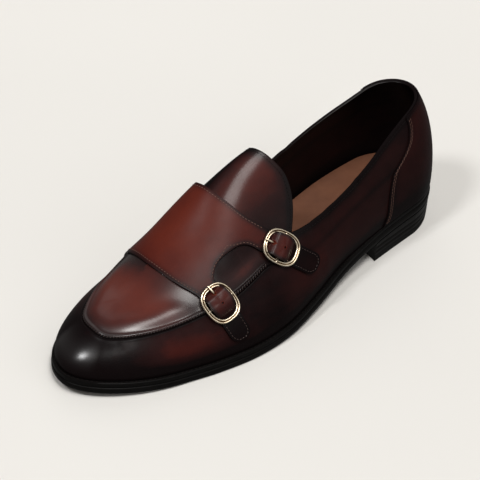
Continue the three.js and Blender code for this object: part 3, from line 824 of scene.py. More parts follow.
def sew(name, paths, finish, slot, **sizes):
    points, faces = beads(paths, **sizes)
    mesh = bpy.data.meshes.new(name)
    mesh.from_pydata((points * MM).tolist(), [], faces)
    piece = bpy.data.objects.new(name, mesh)
    bpy.context.scene.collection.objects.link(piece)
    weld(piece)
    return hand_over(piece, slot, finishes=[finish], angle=80)


def path_on_last(turn, share, lift):
    """A seam laid on the last: its points and the leather's normals there."""
    points = on_last(turn, share, np.full_like(share, lift))
    return points, points - on_last(turn, share, np.full_like(share, lift - 1))


def path_over(at, over, lift):
    points = by_over(at, over, lift)
    return points, points - by_over(at, over, lift - 1)


print("needle threaded")

# %% [markdown]
# ## The sole
# A welted shoe stands on a leather outsole and a stacked heel. A strip of leather, the welt, runs round the
# edge, and the upper and the outsole are both sewn to it. Each is a closed ring or plate whose profile is
# drawn once and swept round the outline of the foot.

# %% Sweeping a profile round the outline
SPINE_START = 30
SPINE_END = 262


def plate_points(turn, inset, reach, height, level):
    """Points between the middle of the sole, at reach 0, and its inset outline, at reach 1."""
    edge = inset_outline(turn, inset)
    spine_at = soft_clamp(edge[..., 1], SPINE_START, SPINE_END)
    spine_x = (read(OUTLINE, "lateral", spine_at) - read(OUTLINE, "medial", spine_at)) / 2
    spine = np.stack([spine_x, spine_at], -1)
    flat = mix(spine, edge, np.asarray(reach)[..., None])
    return world(np.concatenate([flat, (level(flat[..., 1]) + height)[..., None]], -1))


def sweep(name, profile, level, columns=420, closed=False):
    """profile rows are (inset, reach, height). A closed profile makes a ring."""
    rows = profile + profile[:1] if closed else profile
    piece, column, row = unit_grid(name, columns + 1, len(rows))
    inset, reach, height = (np.array(values)[row] for values in zip(*rows))
    set_points(piece, plate_points(2 * column / columns, inset, reach, height, level))
    weld(piece)
    return piece


print("the sole's spine runs from", SPINE_START, "to", SPINE_END, "mm")

# %% [markdown]
# ## Outsole
# The outsole is a plate of stiff leather with a rounded, blacked edge. Underneath, a narrow channel holds
# the seam that joins it to the welt. One profile gives plate, edge and channel together, where a bevelled
# and cut plate would need its channel carved afterwards.

# %% Outsole, with its sewing channel
LOOKS_DOWN = -0.8


def paint_by_slope(piece):
    """Faces that look down take the second finish, when it is added."""
    for face in piece.data.polygons:
        face.material_index = 1 if face.normal.z < LOOKS_DOWN else 0


def make_outsole():
    profile = [(6.5, reach, 0) for reach in (0, 0.4, 0.75, 1)]
    profile += [(5.6, 1, 0), (5.2, 1, 0.35), (4.8, 1, 0.35), (4.4, 1, 0), (1.4, 1, 0)]
    profile += [(0.9, 1, 0.12), (0.4, 1, 0.5), (0.1, 1, 1.1), (0, 1, 2.0), (0, 1, 3.2), (0.1, 1, 4.2)]
    profile += [(0.4, 1, 4.6), (0.8, 1, 4.8), (4, 1, 4.8), (8, 0.7, 4.8), (8, 0, 4.8)]
    outsole = sweep("outsole_leather", profile, underside)
    paint_by_slope(outsole)
    return hand_over(outsole, "sole", "outsole", finishes=[sole_edge, sole_bottom])


make_outsole()

# %% [markdown]
# ## Welt
# The welt is a strip of leather that shows as a narrow ledge all round the upper. It is a closed ring, and
# its profile has a small bead along the outer edge, as a welt wheel leaves it.

# %% Welt
def make_welt():
    low = OUTSOLE + GAP
    high = low + WELT
    profile = [(0.9, 1, low), (0.5, 1, low + 0.3), (0.35, 1, low + 1.0), (0.35, 1, low + 2.3)]
    profile += [(0.45, 1, high - 0.45), (0.7, 1, high - 0.12), (1.1, 1, high)]
    profile += [(1.5, 1, high - 0.18), (1.9, 1, high), (6, 1, high), (12, 1, high), (12, 1, low)]
    welt = sweep("welt_strip", profile, underside, closed=True)
    return hand_over(welt, "welt", "welt", finishes=[sole_edge])


make_welt()

# %% [markdown]
# ## The heel
# The heel is a stack of leather lifts with a rubber top piece that meets the ground. The lifts are sanded
# flush and waxed black, so only faint lines between them show.

# %% Heel block
HEEL_TOP_PIECE = 5.0
HEEL_LIFTS = (5.0, 8.6, 12.2)
HEEL_MIDDLE = np.array([-1.0, 38.0])
HEEL_HEIGHT = 17
ABOVE_HEEL = 1000
HEEL_WALL = 0.78
BREAST_HOLLOW = 2.2


def heel_outline(part, inset):
    """Goes round the heel from the outer breast corner, round the back and along the breast."""
    breast = station(HEEL_BREAST)
    turn = mix(breast, -breast, np.clip(part / HEEL_WALL, 0, 1))
    edge = inset_outline(turn, inset)
    outer = inset_outline(breast, inset)
    inner = inset_outline(-breast, inset)
    t = np.clip((part - HEEL_WALL) / (1 - HEEL_WALL), 0, 1)
    front = mix(inner, outer, t[..., None])
    front[..., 1] -= BREAST_HOLLOW * np.sin(np.pi * t) ** 0.7
    return np.where((part > HEEL_WALL)[..., None], front, edge)


def make_heel():
    columns = 260
    rows = [(1.7, 0, 0), (1.7, 0.6, 0), (1.7, 0.97, 0), (1.6, 1, 0.25)]
    for lift in HEEL_LIFTS:
        share = lift / HEEL_HEIGHT
        inset = mix(1.5, 0.5, share)
        rows += [(inset, 1, lift - 0.35), (inset + 0.16, 1, lift), (inset, 1, lift + 0.35)]
    rows += [(0.3, reach, ABOVE_HEEL) for reach in (1, 0.6, 0)]
    heel, column, row = unit_grid("heel_stack", columns + 1, len(rows))
    inset, reach, height = (np.array(values, float)[row] for values in zip(*rows))
    part = column / columns
    flat = mix(HEEL_MIDDLE, heel_outline(part, inset), reach[:, None])
    top = underside(np.minimum(flat[:, 1], HEEL_BREAST)) - GAP
    level = np.minimum(height, top)
    set_points(heel, world(np.concatenate([flat, level[:, None]], 1)))
    weld(heel)
    for face in heel.data.polygons:
        face.material_index = 1 if face.center.z < HEEL_TOP_PIECE * MM else 0
    return hand_over(heel, "sole", "heel", finishes=[sole_edge, heel_rubber], angle=50)


make_heel()

# %% [markdown]
# ## Welt stitches
# Welt and outsole are sewn together by a row of strong stitches that lies open on the welt. They are longer
# than the others, and they stop where the heel begins.

# %% Welt stitches
def sew_welt():
    turn = np.linspace(station(HEEL_BREAST) - 0.02, 2 - station(HEEL_BREAST) + 0.02, 900)
    inset = mix(feather_inset(distance(turn)), 0.4, 0.42)
    points = plate_points(turn, inset, np.ones_like(turn), OUTSOLE + GAP + WELT + 0.02, underside)
    up = np.tile([0.0, 0.0, 1.0], (len(points), 1))
    size = {"pitch": 3.0, "length": 2.3, "width": 0.7, "height": 0.35}
    return sew("welt_stitches", [(points, up)], thread, "welt", **size)


sew_welt()

# %% [markdown]
# ## The insole
# Inside, a sock of thin leather covers the insole and its cork filling. It is a plate like the outsole, a
# little hollow in the middle, and it is swept with the same helper, a few millimetres further in.

# %% Insole sock
def make_insole():
    low = OUTSOLE + GAP
    rest = OUTSOLE + GAP + WELT + GAP + 0.1
    top = rest + INSOLE - 0.1
    rim = 3.7
    cork = 12.3
    profile = [(cork, 0, low), (cork, 1, low), (cork, 1, rest)]
    profile += [(rim + 1.2, 1, rest), (rim + 0.9, 1, top - 0.6)]
    profile += [(rim + 1.3, 1, top), (rim + 3, 1, top), (rim + 3, 0.7, top - 0.5), (rim + 3, 0, top - 0.9)]
    insole = sweep("insole_sock", profile, underside, columns=240)
    return hand_over(insole, "lining", "insole", finishes=[sock_leather], angle=50)


make_insole()

# %% [markdown]
# ## The upper
# Vamp, skirt and quarters are pulled over the last as one skin with a lining. The apron seam rises as a
# sewn ridge with a groove beside it. Rows of points are laid exactly along that seam, so that the narrow
# groove stays crisp while the rest of the skin needs only broad faces.

# %% Where the apron seam runs
SEAM = chart(
    "at lateral medial",
    (0, 0.30, 0.30), (60, 0.27, 0.24), (100, 0.25, 0.19), (125, 0.27, 0.17), (145, 0.33, 0.2),
    (157, 0.39, 0.26), (165, 0.41, 0.34), (178, 0.41, 0.45), (190, 0.41, 0.475), (217, 0.445, 0.49),
    (234, 0.48, 0.515),
    (250, 0.525, 0.56), (262, 0.555, 0.60), (278, 0.585, 0.635), (290, 0.615, 0.65), (296, 0.65, 0.667),
    (300, 0.68, 0.68),
)
PANEL_FRONT = chart(
    "over at",
    (-0.98, 199), (-0.92, 204), (-0.5, 217), (-0.2, 222.5), (0, 224), (0.15, 223), (0.3, 220), (0.46, 214),
    (0.6, 210.5),
)
PANEL_REAR = chart(
    "over at",
    (-0.98, 128.5), (-0.92, 133), (-0.66, 151), (-0.5, 161), (-0.3, 169), (0, 172), (0.2, 168.8),
    (0.34, 163.5), (0.46, 155), (0.6, 145),
)
SEAM_ROWS = np.array((
    -3.2, -2.2, -1.5, -1.0, -0.65, -0.4, -0.2, 0, 0.2, 0.45, 0.75, 1.1, 1.5, 1.9, 2.4, 3.0, 3.8,
))


def seam_share(turn):
    at = distance(turn)
    return np.where(outer_side(turn), read(SEAM, "lateral", at), read(SEAM, "medial", at))


def share_per_mm(turn, share):
    step = 0.01
    length = np.linalg.norm(rib(turn, share + step) - rib(turn, share - step), axis=-1)
    return 2 * step / length


def seam_strength(turn):
    """The seam fades out under the rear strap and under the panel's inner side."""
    at = distance(turn)
    lateral = smooth(at, 158, 168)
    medial = smooth(at, 196, 208)
    return np.where(outer_side(turn), lateral, medial)


def pillow_relief(turn, share, offset):
    """The apron is a little fuller beside its seam, and flat again where the strap panel covers it."""
    over = np.where(outer_side(turn), 1 - share, share - 1)
    ahead = rib(turn, share)[..., 1] - read(PANEL_FRONT, "at", over, "over")
    return 1.1 * near(offset, 8.5, 6.5) * smooth(ahead, 1, 16) * smooth(offset, -0.5, 3)


def seam_relief(offset):
    """Height of the leather near the seam; offset is in mm from it, towards the crest."""
    ridge = 1.0 * near(offset, 1.4, 1.1)
    groove = -0.75 * near(offset, -0.1, 0.34)
    return ridge + groove + 0.22 * near(offset, -1.3, 0.9)


print("seam's rows run from", SEAM_ROWS[0], "to", SEAM_ROWS[-1], "mm beside it")

# %% [markdown]
# ## Creases
# A new shoe has no deep creases, but leather still shows where it was pulled: soft folds behind the buckles,
# a shallow hollow across the vamp, and the hint of a wrinkle at the ankle. Each one is listed in a chart.

# %% Creases, listed one by one
CREASES = chart(
    "turn_at share length width depth side",
    (118, 0.26, 16, 2.6, 0.35, 1),
    (108, 0.30, 13, 2.2, 0.30, 1),
    (128, 0.22, 15, 2.8, 0.30, 1),
    (84, 0.36, 12, 2.4, 0.28, 1),
    (212, 0.26, 20, 3.2, 0.30, 1),
    (199, 0.22, 16, 2.8, 0.26, 1),
    (118, 0.30, 18, 3.0, 0.40, -1),
    (96, 0.34, 14, 2.6, 0.30, -1),
    (206, 0.30, 20, 3.0, 0.35, -1),
)


def crease_relief(turn, share):
    """Troughs that run up the ribs, each with a low ridge beside it."""
    at = distance(turn)
    side = np.where(outer_side(turn), 1, -1)
    depth = np.zeros_like(at * share)
    for turn_at, level, length, width, deep, face in zip(*CREASES.values()):
        lean = turn_at + 26 * (share - level)
        trough = near(at, lean, width) - 0.45 * near(at, lean + 2.1 * width, 1.3 * width)
        depth -= deep * trough * near(share, level, length / RIB_LENGTH) * (side == face)
    return depth


print(len(CREASES["depth"]), "creases placed")

# %% [markdown]
# ## Where the cream and the wax go
# Burnishing follows the shoe: dark along the sole, the seams, the collar and the toe, and red-brown in the
# middle of the apron and low on the sides. Painted shade is added on top of it: over the inner side, which
# turns away from the lamps, along the apron in front of the panel's edge, and inside the cut-out between the
# straps, which also gets a painted highlight along its middle. A procedural map by height or angle would miss
# these places, so both numbers are worked out for each point from its distance to the seam, the sole and the
# collar.

# %% How dark and how glossy the upper is
def upper_cream_and_shade(turn, share, top, seam, offset):
    """How dark the upper is painted, by cream and by painted shade: 0 is bare red-brown, 1 is almost black.
    """
    place = rib(turn, share)
    at = place[..., 1]
    outer = outer_side(turn)
    height = place[..., 2] - feather_level(at)
    skirt = share < seam
    vamp = smooth(at, 150, 168)
    toe = smooth(at, 246, 284)
    red_patch = near(at, 232, 34) * near(height, 15, 9)
    skirt_tone = mix(0.96, 1.04, toe) - 0.44 * red_patch * (1 - toe)
    middle = near(at, 236, 30) * smooth(share - seam, 0.03, 0.22)
    ahead = at - read(PANEL_FRONT, "at", np.where(outer, 1 - share, share - 1), "over")
    # The apron darkens over the last 20 mm before the panel's front edge: this is cream, with painted shade
    # cast by the panel.
    plug_tone = 0.50 - 0.42 * middle + 0.25 * smooth(at, 262, 276) + 0.36 * (1 - smooth(ahead, 0, 20))
    quarter_tone = 0.84 - 0.16 * near(at, 128, 34) * near(height, 24, 14) + 0.14 * (1 - smooth(at, 20, 60))
    front = np.where(skirt, skirt_tone, plug_tone)
    tone = mix(quarter_tone, front, vamp)
    # Behind the ball the inner side is kept at least this dark: painted shade, because that side turns away
    # from the lamps.
    tone = np.where(outer, tone, np.maximum(tone, mix(0.9, tone, smooth(at, 215, 235))))
    over = 1 - share
    # Inside the cut-out between the straps the leather is painted dark, as painted shade under the panel's
    # raised edges, with a painted highlight along its middle.
    cut_out_shade = smooth(at, 150, 156) * (1 - smooth(at, 198, 206)) * outer
    cut_out_shade = cut_out_shade * smooth(offset, 1, 3) * smooth(over, 0.28, 0.34)
    cut_out_highlight = near(offset, 8.5, 4) * near(at, 180, 16)
    tone = mix(tone, 0.92 - 0.38 * cut_out_highlight, cut_out_shade)
    tone = tone + 0.6 * near(offset, -0.2, 0.9) * seam_strength(turn) + 0.12 * near(offset, 1.2, 2.2)
    tone = tone + 0.55 * near(height, 0, 6)
    edge = (top - share) / share_per_mm(turn, share)
    tone = tone + 0.35 * near(edge, 0, 4) * (top < 0.999)
    return np.clip(tone, 0, 1.1)


def upper_polish(turn, share, offset):
    """How thick the wax lies: most on the apron and on the very front of the toe."""
    at = distance(turn)
    apron = smooth(offset, -0.2, 0.6) * seam_strength(turn) * smooth(at, 196, 214)
    toe_cap = smooth(at, 289, 295) * near(share, 0.38, 0.15)
    cut_out_glow = 0.3 * near(offset, 7.5, 5) * near(at, 180, 20) * outer_side(turn)
    skirt = 0.03 + 1.1 * toe_cap + 0.05 * (1 - smooth(at, 150, 170)) + cut_out_glow
    outer_band = 0.15 * near(offset, 6, 7) * outer_side(turn)
    return mix(skirt, 0.85 + outer_band, apron)


print("wax on the front of the toe:", round(float(upper_polish(1.0, 0.38, -20.0)), 2))

# %% [markdown]
# ## Lasting the upper
# A wet upper is pulled over the last and nailed, and dries to its shape. Here a grid is pulled over it: its
# columns go round the sole and its rows climb the ribs, close together beside the seam. Shrinkwrap onto a
# carved last could do the same, but would not keep rows of points exactly along the seam.

# %% The upper's skin
UPPER_COLUMNS = 560
ROWS_BELOW = 26
ROWS_ABOVE = 26
UPPER_RAW = 0.3


def make_upper():
    row_count = ROWS_BELOW + len(SEAM_ROWS) + ROWS_ABOVE
    upper, column, row = unit_grid("upper_leather", UPPER_COLUMNS + 1, row_count)
    turns = np.linspace(0, 2, UPPER_COLUMNS + 1)
    seam = seam_share(turns)
    top = top_share(turns)
    per_mm = share_per_mm(turns, seam)
    low = seam + SEAM_ROWS[0] * per_mm
    high = seam + SEAM_ROWS[-1] * per_mm
    below = [low * k / ROWS_BELOW for k in range(ROWS_BELOW)]
    beside = [seam + offset * per_mm for offset in SEAM_ROWS]
    above = [mix(high, top, k / ROWS_ABOVE) for k in range(1, ROWS_ABOVE + 1)]
    shares = np.array(below + beside + above)
    share = shares[row, column]
    turn = turns[column]
    offset = (share - seam[column]) / per_mm[column]
    relief = seam_relief(offset) * seam_strength(turn) + crease_relief(turn, share)
    relief = relief + pillow_relief(turn, share, offset)
    relief = relief * smooth(share, 0.02, 0.1)
    crest_fade = np.where(share > 0.995, 0.0, 1.0)
    set_points(upper, on_last(turn, share, relief * crest_fade))
    paint(upper, "burnish", upper_cream_and_shade(turn, share, top[column], seam[column], offset))
    paint(upper, "polish", upper_polish(turn, share, offset))
    paint(upper, "raw", np.full(len(turn), UPPER_RAW))
    weld(upper, outwards=False)
    look_out(upper, ROWS_BELOW * 3, (1, 0, 0))
    skive(upper, WALL)
    return hand_over(upper, "upper_leather", "upper", finishes=[calf, lining_leather, cut_edge], angle=60)


make_upper()

# %% [markdown]
# ## Apron stitches
# The apron is joined to the skirt by hand, with close slanting stitches over the ridge. They catch the light
# one by one, which is why they are thread of their own and not a bump in the leather.

# %% Apron seam: close slanting stitches over the ridge
def sew_apron():
    lateral = np.linspace(station(166), 1, 500)
    medial = np.linspace(1, 2 - station(206), 380)[1:]
    turn = np.concatenate([lateral, medial])
    share = seam_share(turn) + 1.25 * share_per_mm(turn, seam_share(turn))
    path = path_on_last(turn, share, 0.72)
    size = {"pitch": 1.9, "length": 2.5, "width": 0.5, "height": 0.3, "slant": 1.05}
    return sew("apron_stitches", [path], waxed_thread, "upper_leather", **size)


sew_apron()

# %% [markdown]
# ## The heel counter
# A second layer of calf wraps the heel. Its front edge starts under the collar, dips, runs forward and drops
# to the sole. It is cut from the same surface as the upper, one skin further out, and sewn twice.

# %% Counter panel
COUNTER = chart(
    "up lateral medial",
    (0, 64.8, 65.7), (0.1, 62.3, 63), (0.27, 61, 60.4), (0.38, 60, 58), (0.5, 57.6, 52),
    (0.57, 54.5, 46), (0.62, 47, 40.5), (0.68, 40.5, 36.5), (0.79, 35.8, 33.6), (1, 33.6, 32.4),
)
COUNTER_THICKNESS = 0.9
COUNTER_FOOT = 0.004
COUNTER_TOP = 0.988
COUNTER_REACH = 110
SEAM_STITCH = {"pitch": 2.2, "length": 1.6, "width": 0.42, "height": 0.25}


def counter_turn(part, up):
    """part runs from 0 at the inner front edge, round the back, to 1 at the outer front edge."""
    outer = station(read(COUNTER, "lateral", up, "up"))
    inner = -station(read(COUNTER, "medial", up, "up"))
    return mix(inner, outer, part)


def make_counter():
    columns, rows = 110, 44
    counter, column, row = unit_grid("heel_counter", columns + 1, rows + 1)
    up = row / rows
    turn = counter_turn(column / columns, up)
    share = mix(COUNTER_FOOT, top_share(turn) * COUNTER_TOP, up)
    set_points(counter, on_last(turn, share, np.full(len(up), 0.04)))
    height = share * RIB_LENGTH
    edge_run = np.minimum(column, columns - column) / columns * COUNTER_REACH
    tone = 0.8 - 0.14 * near(height, 38, 16) + 0.3 * near(edge_run, 0, 3) + 0.4 * near(height, 0, 7)
    paint(counter, "burnish", tone + 0.25 * near(up, 1, 0.05))
    paint(counter, "raw", np.full(len(up), 0.6))
    weld(counter, outwards=False)
    look_out(counter, columns * rows // 2 + columns // 2, (0, 1, 0))
    skive(counter, COUNTER_THICKNESS, 0.3, 0, 2, outward=True)
    return hand_over(counter, "upper_leather", finishes=[calf, lining_leather, cut_edge], angle=50)


make_counter()

# %% [markdown]
# ## Counter stitches
# Two rows of brown thread hold the front edges of the counter. They stand out against the burnished leather.

# %% Counter stitches
def sew_counter():
    paths = []
    up = np.linspace(0.02, 0.95, 90)
    for side, column in ((1, "lateral"), (-1, "medial")):
        for inset in (1.8, 3.6):
            turn = side * station(read(COUNTER, column, up, "up") - inset)
            share = mix(COUNTER_FOOT, top_share(turn) * COUNTER_TOP, up)
            paths.append(path_on_last(turn, share, COUNTER_THICKNESS))
    return sew("counter_stitches", paths, light_thread, "upper_leather", **SEAM_STITCH)


sew_counter()

# %% [markdown]
# ## Collar stitches
# One row of dark thread joins the lining to the leather just below the collar's edge. At the back it lies on
# the counter, so it is lifted by the counter's thickness there.

# %% Collar stitches
def sew_collar():
    turn = np.linspace(-station(150), station(138), 500)
    share = top_share(turn) - 2.4 * share_per_mm(turn, top_share(turn) - 0.02)
    back = 1 - smooth(np.abs(distance(turn)), 33, 36)
    lift = back * COUNTER_THICKNESS + 0.02
    path = on_last(turn, share, lift)
    normals = path - on_last(turn, share, lift - 1)
    return sew("collar_stitches", [(path, normals)], thread, "upper_leather", **SEAM_STITCH)


sew_collar()

# %% [markdown]
# ## The tongue
# The tongue rises from under the strap panel. It is one rounded sheet, a little inside the upper, with its
# free edge turned and sewn. It is laid on the same last as the upper, at a lower level, so the two stay a
# hair apart without any fitting.

# %% Tongue
TONGUE_TOP = chart(
    "over at",
    (-0.8, 153), (-0.7, 145.5), (-0.59, 136.2), (-0.45, 133.5), (-0.25, 136), (0, 138), (0.2, 132.5),
    (0.34, 129.2), (0.48, 132.5), (0.6, 142),
)
TONGUE_ROOT = 193
TONGUE_SIDES = (-0.8, 0.6)
TONGUE_WAX = 0.16
TONGUE_LIFT = -(WALL + 3.5 * GAP)


def make_tongue():
    columns, rows = 84, 56
    tongue, column, row = unit_grid("tongue_leather", columns + 1, rows + 1)
    over = mix(*TONGUE_SIDES, column / columns)
    back = read(TONGUE_TOP, "at", over, "over")
    up = row / rows
    at = mix(TONGUE_ROOT, back, up)
    set_points(tongue, by_over(at, over, TONGUE_LIFT))
    free = at - back
    tone = 0.88 - 0.5 * near(over, 0.2, 0.17) + 0.12 * smooth(-over, -0.04, 0.05)
    tone = tone + 0.45 * near(free, 0, 4.5) + 0.2 * smooth(-over, 0.45, 0.65)
    paint(tongue, "burnish", np.clip(tone, 0, 1.1))
    paint(tongue, "raw", np.full(len(over), 0.1))
    paint(tongue, "polish", np.full(len(over), TONGUE_WAX))
    weld(tongue, outwards=False)
    look_out(tongue, columns * rows // 2 + columns // 2, (0, 0, 1))
    skive(tongue, TONGUE, 0.45)
    finishes = [tongue_calf, lining_leather, cut_edge]
    return hand_over(tongue, "panel_leather", "tongue", finishes=finishes, angle=50)


def sew_tongue():
    over = np.linspace(-0.72, 0.55, 160)
    at = read(TONGUE_TOP, "at", over, "over") + 2.3
    path = path_over(at, over, TONGUE_LIFT + 0.02)
    return sew("tongue_stitches", [path], thread, "panel_leather", **SEAM_STITCH)


make_tongue()
sew_tongue()

# %% [markdown]
# ## The strap panel
# One piece of calf crosses the instep. On the outer side it divides into two straps, with a rounded cut-out
# between them. Each strap climbs over the bar of its buckle and ends in a round tip. The panel's grid and
# the two straps' grids share their points where they meet, so the welded sheet is one skin.

# %% Where each buckle lies and how its strap runs
PANEL_END = -0.965
STRAPS = {
    "front": {"at": 204.6, "over": 0.562, "lean": 2, "reach": 29.5},
    "rear": {"at": 153.2, "over": 0.565, "lean": 23, "reach": 33},
}
STRAP_HALF_WIDTH = 7.2
ROOT_ALONG = -12.4
TIP_ROUND = 7.5
BAR_HEIGHT = 3.3
BAR_RADIUS = 0.8
PRONG_RADIUS = 0.6
STRAP_OVER_BAR = BAR_HEIGHT + BAR_RADIUS + GAP + 2 * PRONG_RADIUS
STRAP_RISE = (-9.6, -4.8)
STRAP_FALL = 9.4


def unit(vector):
    return vector / np.linalg.norm(vector)


def buckle_axes(strap):
    """Directions at a buckle: out of the leather, along the strap and across it."""
    centre = by_over(strap["at"], strap["over"])
    to_toe = (by_over(strap["at"] + 0.5, strap["over"]) - centre) / 0.5
    down = (by_over(strap["at"], strap["over"] + 0.01) - centre) / 0.01
    out = unit(np.cross(down, to_toe))
    out = out if out[2] > 0 else -out
    straight = unit(np.cross(to_toe, out))
    straight = straight if straight[2] < 0 else -straight
    lean = np.radians(strap["lean"])
    along = unit(straight * np.cos(lean) - unit(to_toe) * np.sin(lean))
    across = np.cross(out, along)
    slopes = np.stack([to_toe, down], 1)
    steps = [np.linalg.lstsq(slopes, v, rcond=None)[0] for v in (along, across)]
    return {"centre": centre, "out": out, "along": along, "across": across, "steps": steps}


AXES = {name: buckle_axes(strap) for name, strap in STRAPS.items()}


def strap_place(name, along, across):
    """Distance from the heel and over of a place given along and across a strap, in mm."""
    along_step, across_step = AXES[name]["steps"]
    at = STRAPS[name]["at"] + along * along_step[0] + across * across_step[0]
    over = STRAPS[name]["over"] + along * along_step[1] + across * across_step[1]
    return at, over


def strap_lift(along):
    """The strap stands up steeply on the prong's side and falls away gently on the other."""
    prong_side = smooth(along, *STRAP_RISE)
    free_side = np.maximum(0, 1 - (np.maximum(along, 0) / STRAP_FALL) ** 2) ** 1.4
    return STRAP_OVER_BAR * np.where(along < 0, prong_side, free_side)


def strap_half_width(along, reach):
    t = np.maximum(0, (along - reach + TIP_ROUND) / TIP_ROUND)
    in_buckle = 0.75 * near(along, 0, 4.2)
    return (STRAP_HALF_WIDTH + in_buckle) * np.sqrt(np.maximum(0, 1 - (0.985 * t) ** 2.4))


def on_strap(name, along, across, lift):
    """World points on a strap, which rises over the buckle's bar."""
    at, over = strap_place(name, along, across)
    return by_over(at, over, lift) + AXES[name]["out"] * strap_lift(along)[..., None]


print("buckle centres in mm", {name: axes["centre"].round(1).tolist() for name, axes in AXES.items()})

# %% [markdown]
# ## Cutting the panel
# The panel's outer end is a row of points that goes across the root of the front strap, round the cut-out
# and across the root of the rear strap. The grid runs from the inner sole edge to that row, so the round
# shape of the cut-out comes from the grid itself, and no hole has to be cut.

# %% The panel's places on the last
ACROSS = np.linspace(-1, 1, 15)
CUT_STEPS = 26
PANEL_ROWS = 96


def strap_root(name):
    at, over = strap_place(name, ROOT_ALONG, ACROSS * STRAP_HALF_WIDTH)
    order = np.argsort(-at)
    return np.stack([at[order], over[order]], 1)


def cut_out():
    """The rounded cut-out between the two straps."""
    start, end = strap_root("front")[-1], strap_root("rear")[0]
    t = (np.arange(1, CUT_STEPS) / CUT_STEPS)[:, None]
    bow = (1 - np.abs(2 * t - 1) ** 3.2) * 0.072
    return mix(start, end, t) - np.concatenate([0 * bow, bow], 1)


def panel_places():
    last_row = np.concatenate([strap_root("front"), cut_out(), strap_root("rear")])
    columns = len(last_row)
    t = np.linspace(0, 1, PANEL_ROWS)[:, None]
    over = mix(PANEL_END, last_row[:, 1], t)
    front, rear = (read(table, "at", over, "over") for table in (PANEL_FRONT, PANEL_REAR))
    end_front, end_rear = (read(table, "at", last_row[:, 1], "over") for table in (PANEL_FRONT, PANEL_REAR))
    end_share = (end_front - last_row[:, 0]) / (end_front - end_rear)
    share = mix(np.arange(columns) / (columns - 1), end_share, t**2)
    return mix(front, rear, share), over


print("the panel's end has", len(strap_root("front")) + CUT_STEPS - 1 + len(ACROSS), "points")

# %% [markdown]
# ## Dyeing the panel
# The panel is the reddest piece. It is paler over the crest of the foot and darkens towards its edges and
# towards the sole; down the inner side that darkening is painted shade, because that side turns away from the
# lamps. Its cut edges were left raw, apart from the front one and the straps', which were inked.

# %% The panel as a sheet
PANEL_WAX = 0.13


def saddle_cream_and_shade(at, over, edge):
    # Down the inner side (over below -0.3) the panel is painted darker as painted shade; towards the outer
    # side and near its edges the darkening is cream.
    tone = 0.16 + 0.5 * smooth(-over, 0.3, 0.75) + 0.3 * smooth(over, 0.2, 0.5)
    tone = tone + 0.14 * near(at, 222, 12) - 0.08 * near(over, 0.05, 0.16) * near(at, 190, 16)
    return np.clip(tone + 0.5 * near(edge, 0, 2.6), 0, 1.1)


def make_panel_grid():
    at, over = panel_places()
    rows, columns = at.shape
    piece, column, row = unit_grid("saddle_leather", columns, rows)
    set_points(piece, by_over(at[row, column], over[row, column], GAP))
    place = by_over(at, over, GAP)
    front_edge = np.linalg.norm(place - place[:, :1], axis=-1)
    rear_edge = np.linalg.norm(place - place[:, -1:], axis=-1)
    cut = slice(len(ACROSS), columns - len(ACROSS))
    edges = [front_edge, rear_edge]
    edges += [np.linalg.norm(place - place[-1, k], axis=-1) for k in range(cut.start, cut.stop, 2)]
    edge = np.min(edges, axis=0)
    tone = saddle_cream_and_shade(at, over, edge)
    raw = np.where(front_edge < 4, 0.05, 0.85)
    paint(piece, "burnish", tone[row, column])
    paint(piece, "raw", raw[row, column])
    paint(piece, "polish", np.full(len(row), PANEL_WAX))
    return piece


print("cream on the panel's crest:", round(float(saddle_cream_and_shade(190.0, 0.05, 20.0)), 2))

# %% [markdown]
# ## The straps
# Each strap rises over its buckle's bar, lies down again and ends in a round tip. It has two holes: the prong
# goes through one, and the other is spare. Around the holes the leather is folded by the bend.

# %% The straps as sheets
PRONG_HOLE = {"along": -6.9, "radius": 1.1, "depth": 8}
SPARE_HOLE = {"along": 0.6, "radius": 0.85, "depth": 2.4}
STRAP_WAX = 0.3
STRAP_RAW = 0.2


def strap_rows(reach):
    straight = np.arange(ROOT_ALONG, reach - TIP_ROUND, 0.55)
    tip = reach - TIP_ROUND + TIP_ROUND * np.sin(np.linspace(0, np.pi / 2, 14))
    return np.concatenate([straight, tip])


def strap_wrinkles(along, across):
    """Folds that run from the spare hole to the corners, where the strap is bent over the bar."""
    from_hole = along - SPARE_HOLE["along"]
    away = np.hypot(from_hole, across)
    fan = np.cos(5 * np.arctan2(across, from_hole) + 0.6)
    return 0.2 * fan * near(away, 4.4, 2.2) * smooth(-along, -3.5, 0.5) - 0.25 * near(away, 0, 1.6)


def make_strap_grid(name):
    reach = STRAPS[name]["reach"]
    rows = strap_rows(reach)
    piece, column, row = unit_grid("strap_" + name, len(ACROSS), len(rows))
    along = rows[row]
    root_at, _ = strap_place(name, ROOT_ALONG, ACROSS[[0, -1]])
    sign = 1 if root_at[0] > root_at[1] else -1
    across = sign * ACROSS[column] * strap_half_width(along, reach)
    set_points(piece, on_strap(name, along, across, GAP + strap_wrinkles(along, across)))
    edge = strap_half_width(along, reach) - np.abs(across)
    tip_edge = reach - along
    # The strap is painted lighter where it rides up over the bar, as a painted highlight, and darker beyond
    # the buckle, where it turns steeply down, as painted shade. Near its root it is a little darker, and its
    # edges are dark with cream.
    tone = 0.62 + 0.38 * smooth(along, 2, 13) - 0.22 * near(along, -2, 4) + 0.1 * near(along, -11, 2.5)
    tone = tone + 0.4 * near(np.minimum(edge, tip_edge), 0, 1.4)
    paint(piece, "burnish", np.clip(tone, 0, 1.1))
    paint(piece, "raw", np.full(len(along), STRAP_RAW))
    paint(piece, "polish", STRAP_WAX * near(along, 0, 12))
    return piece


print("rows of points:", {name: len(strap_rows(strap["reach"])) for name, strap in STRAPS.items()})

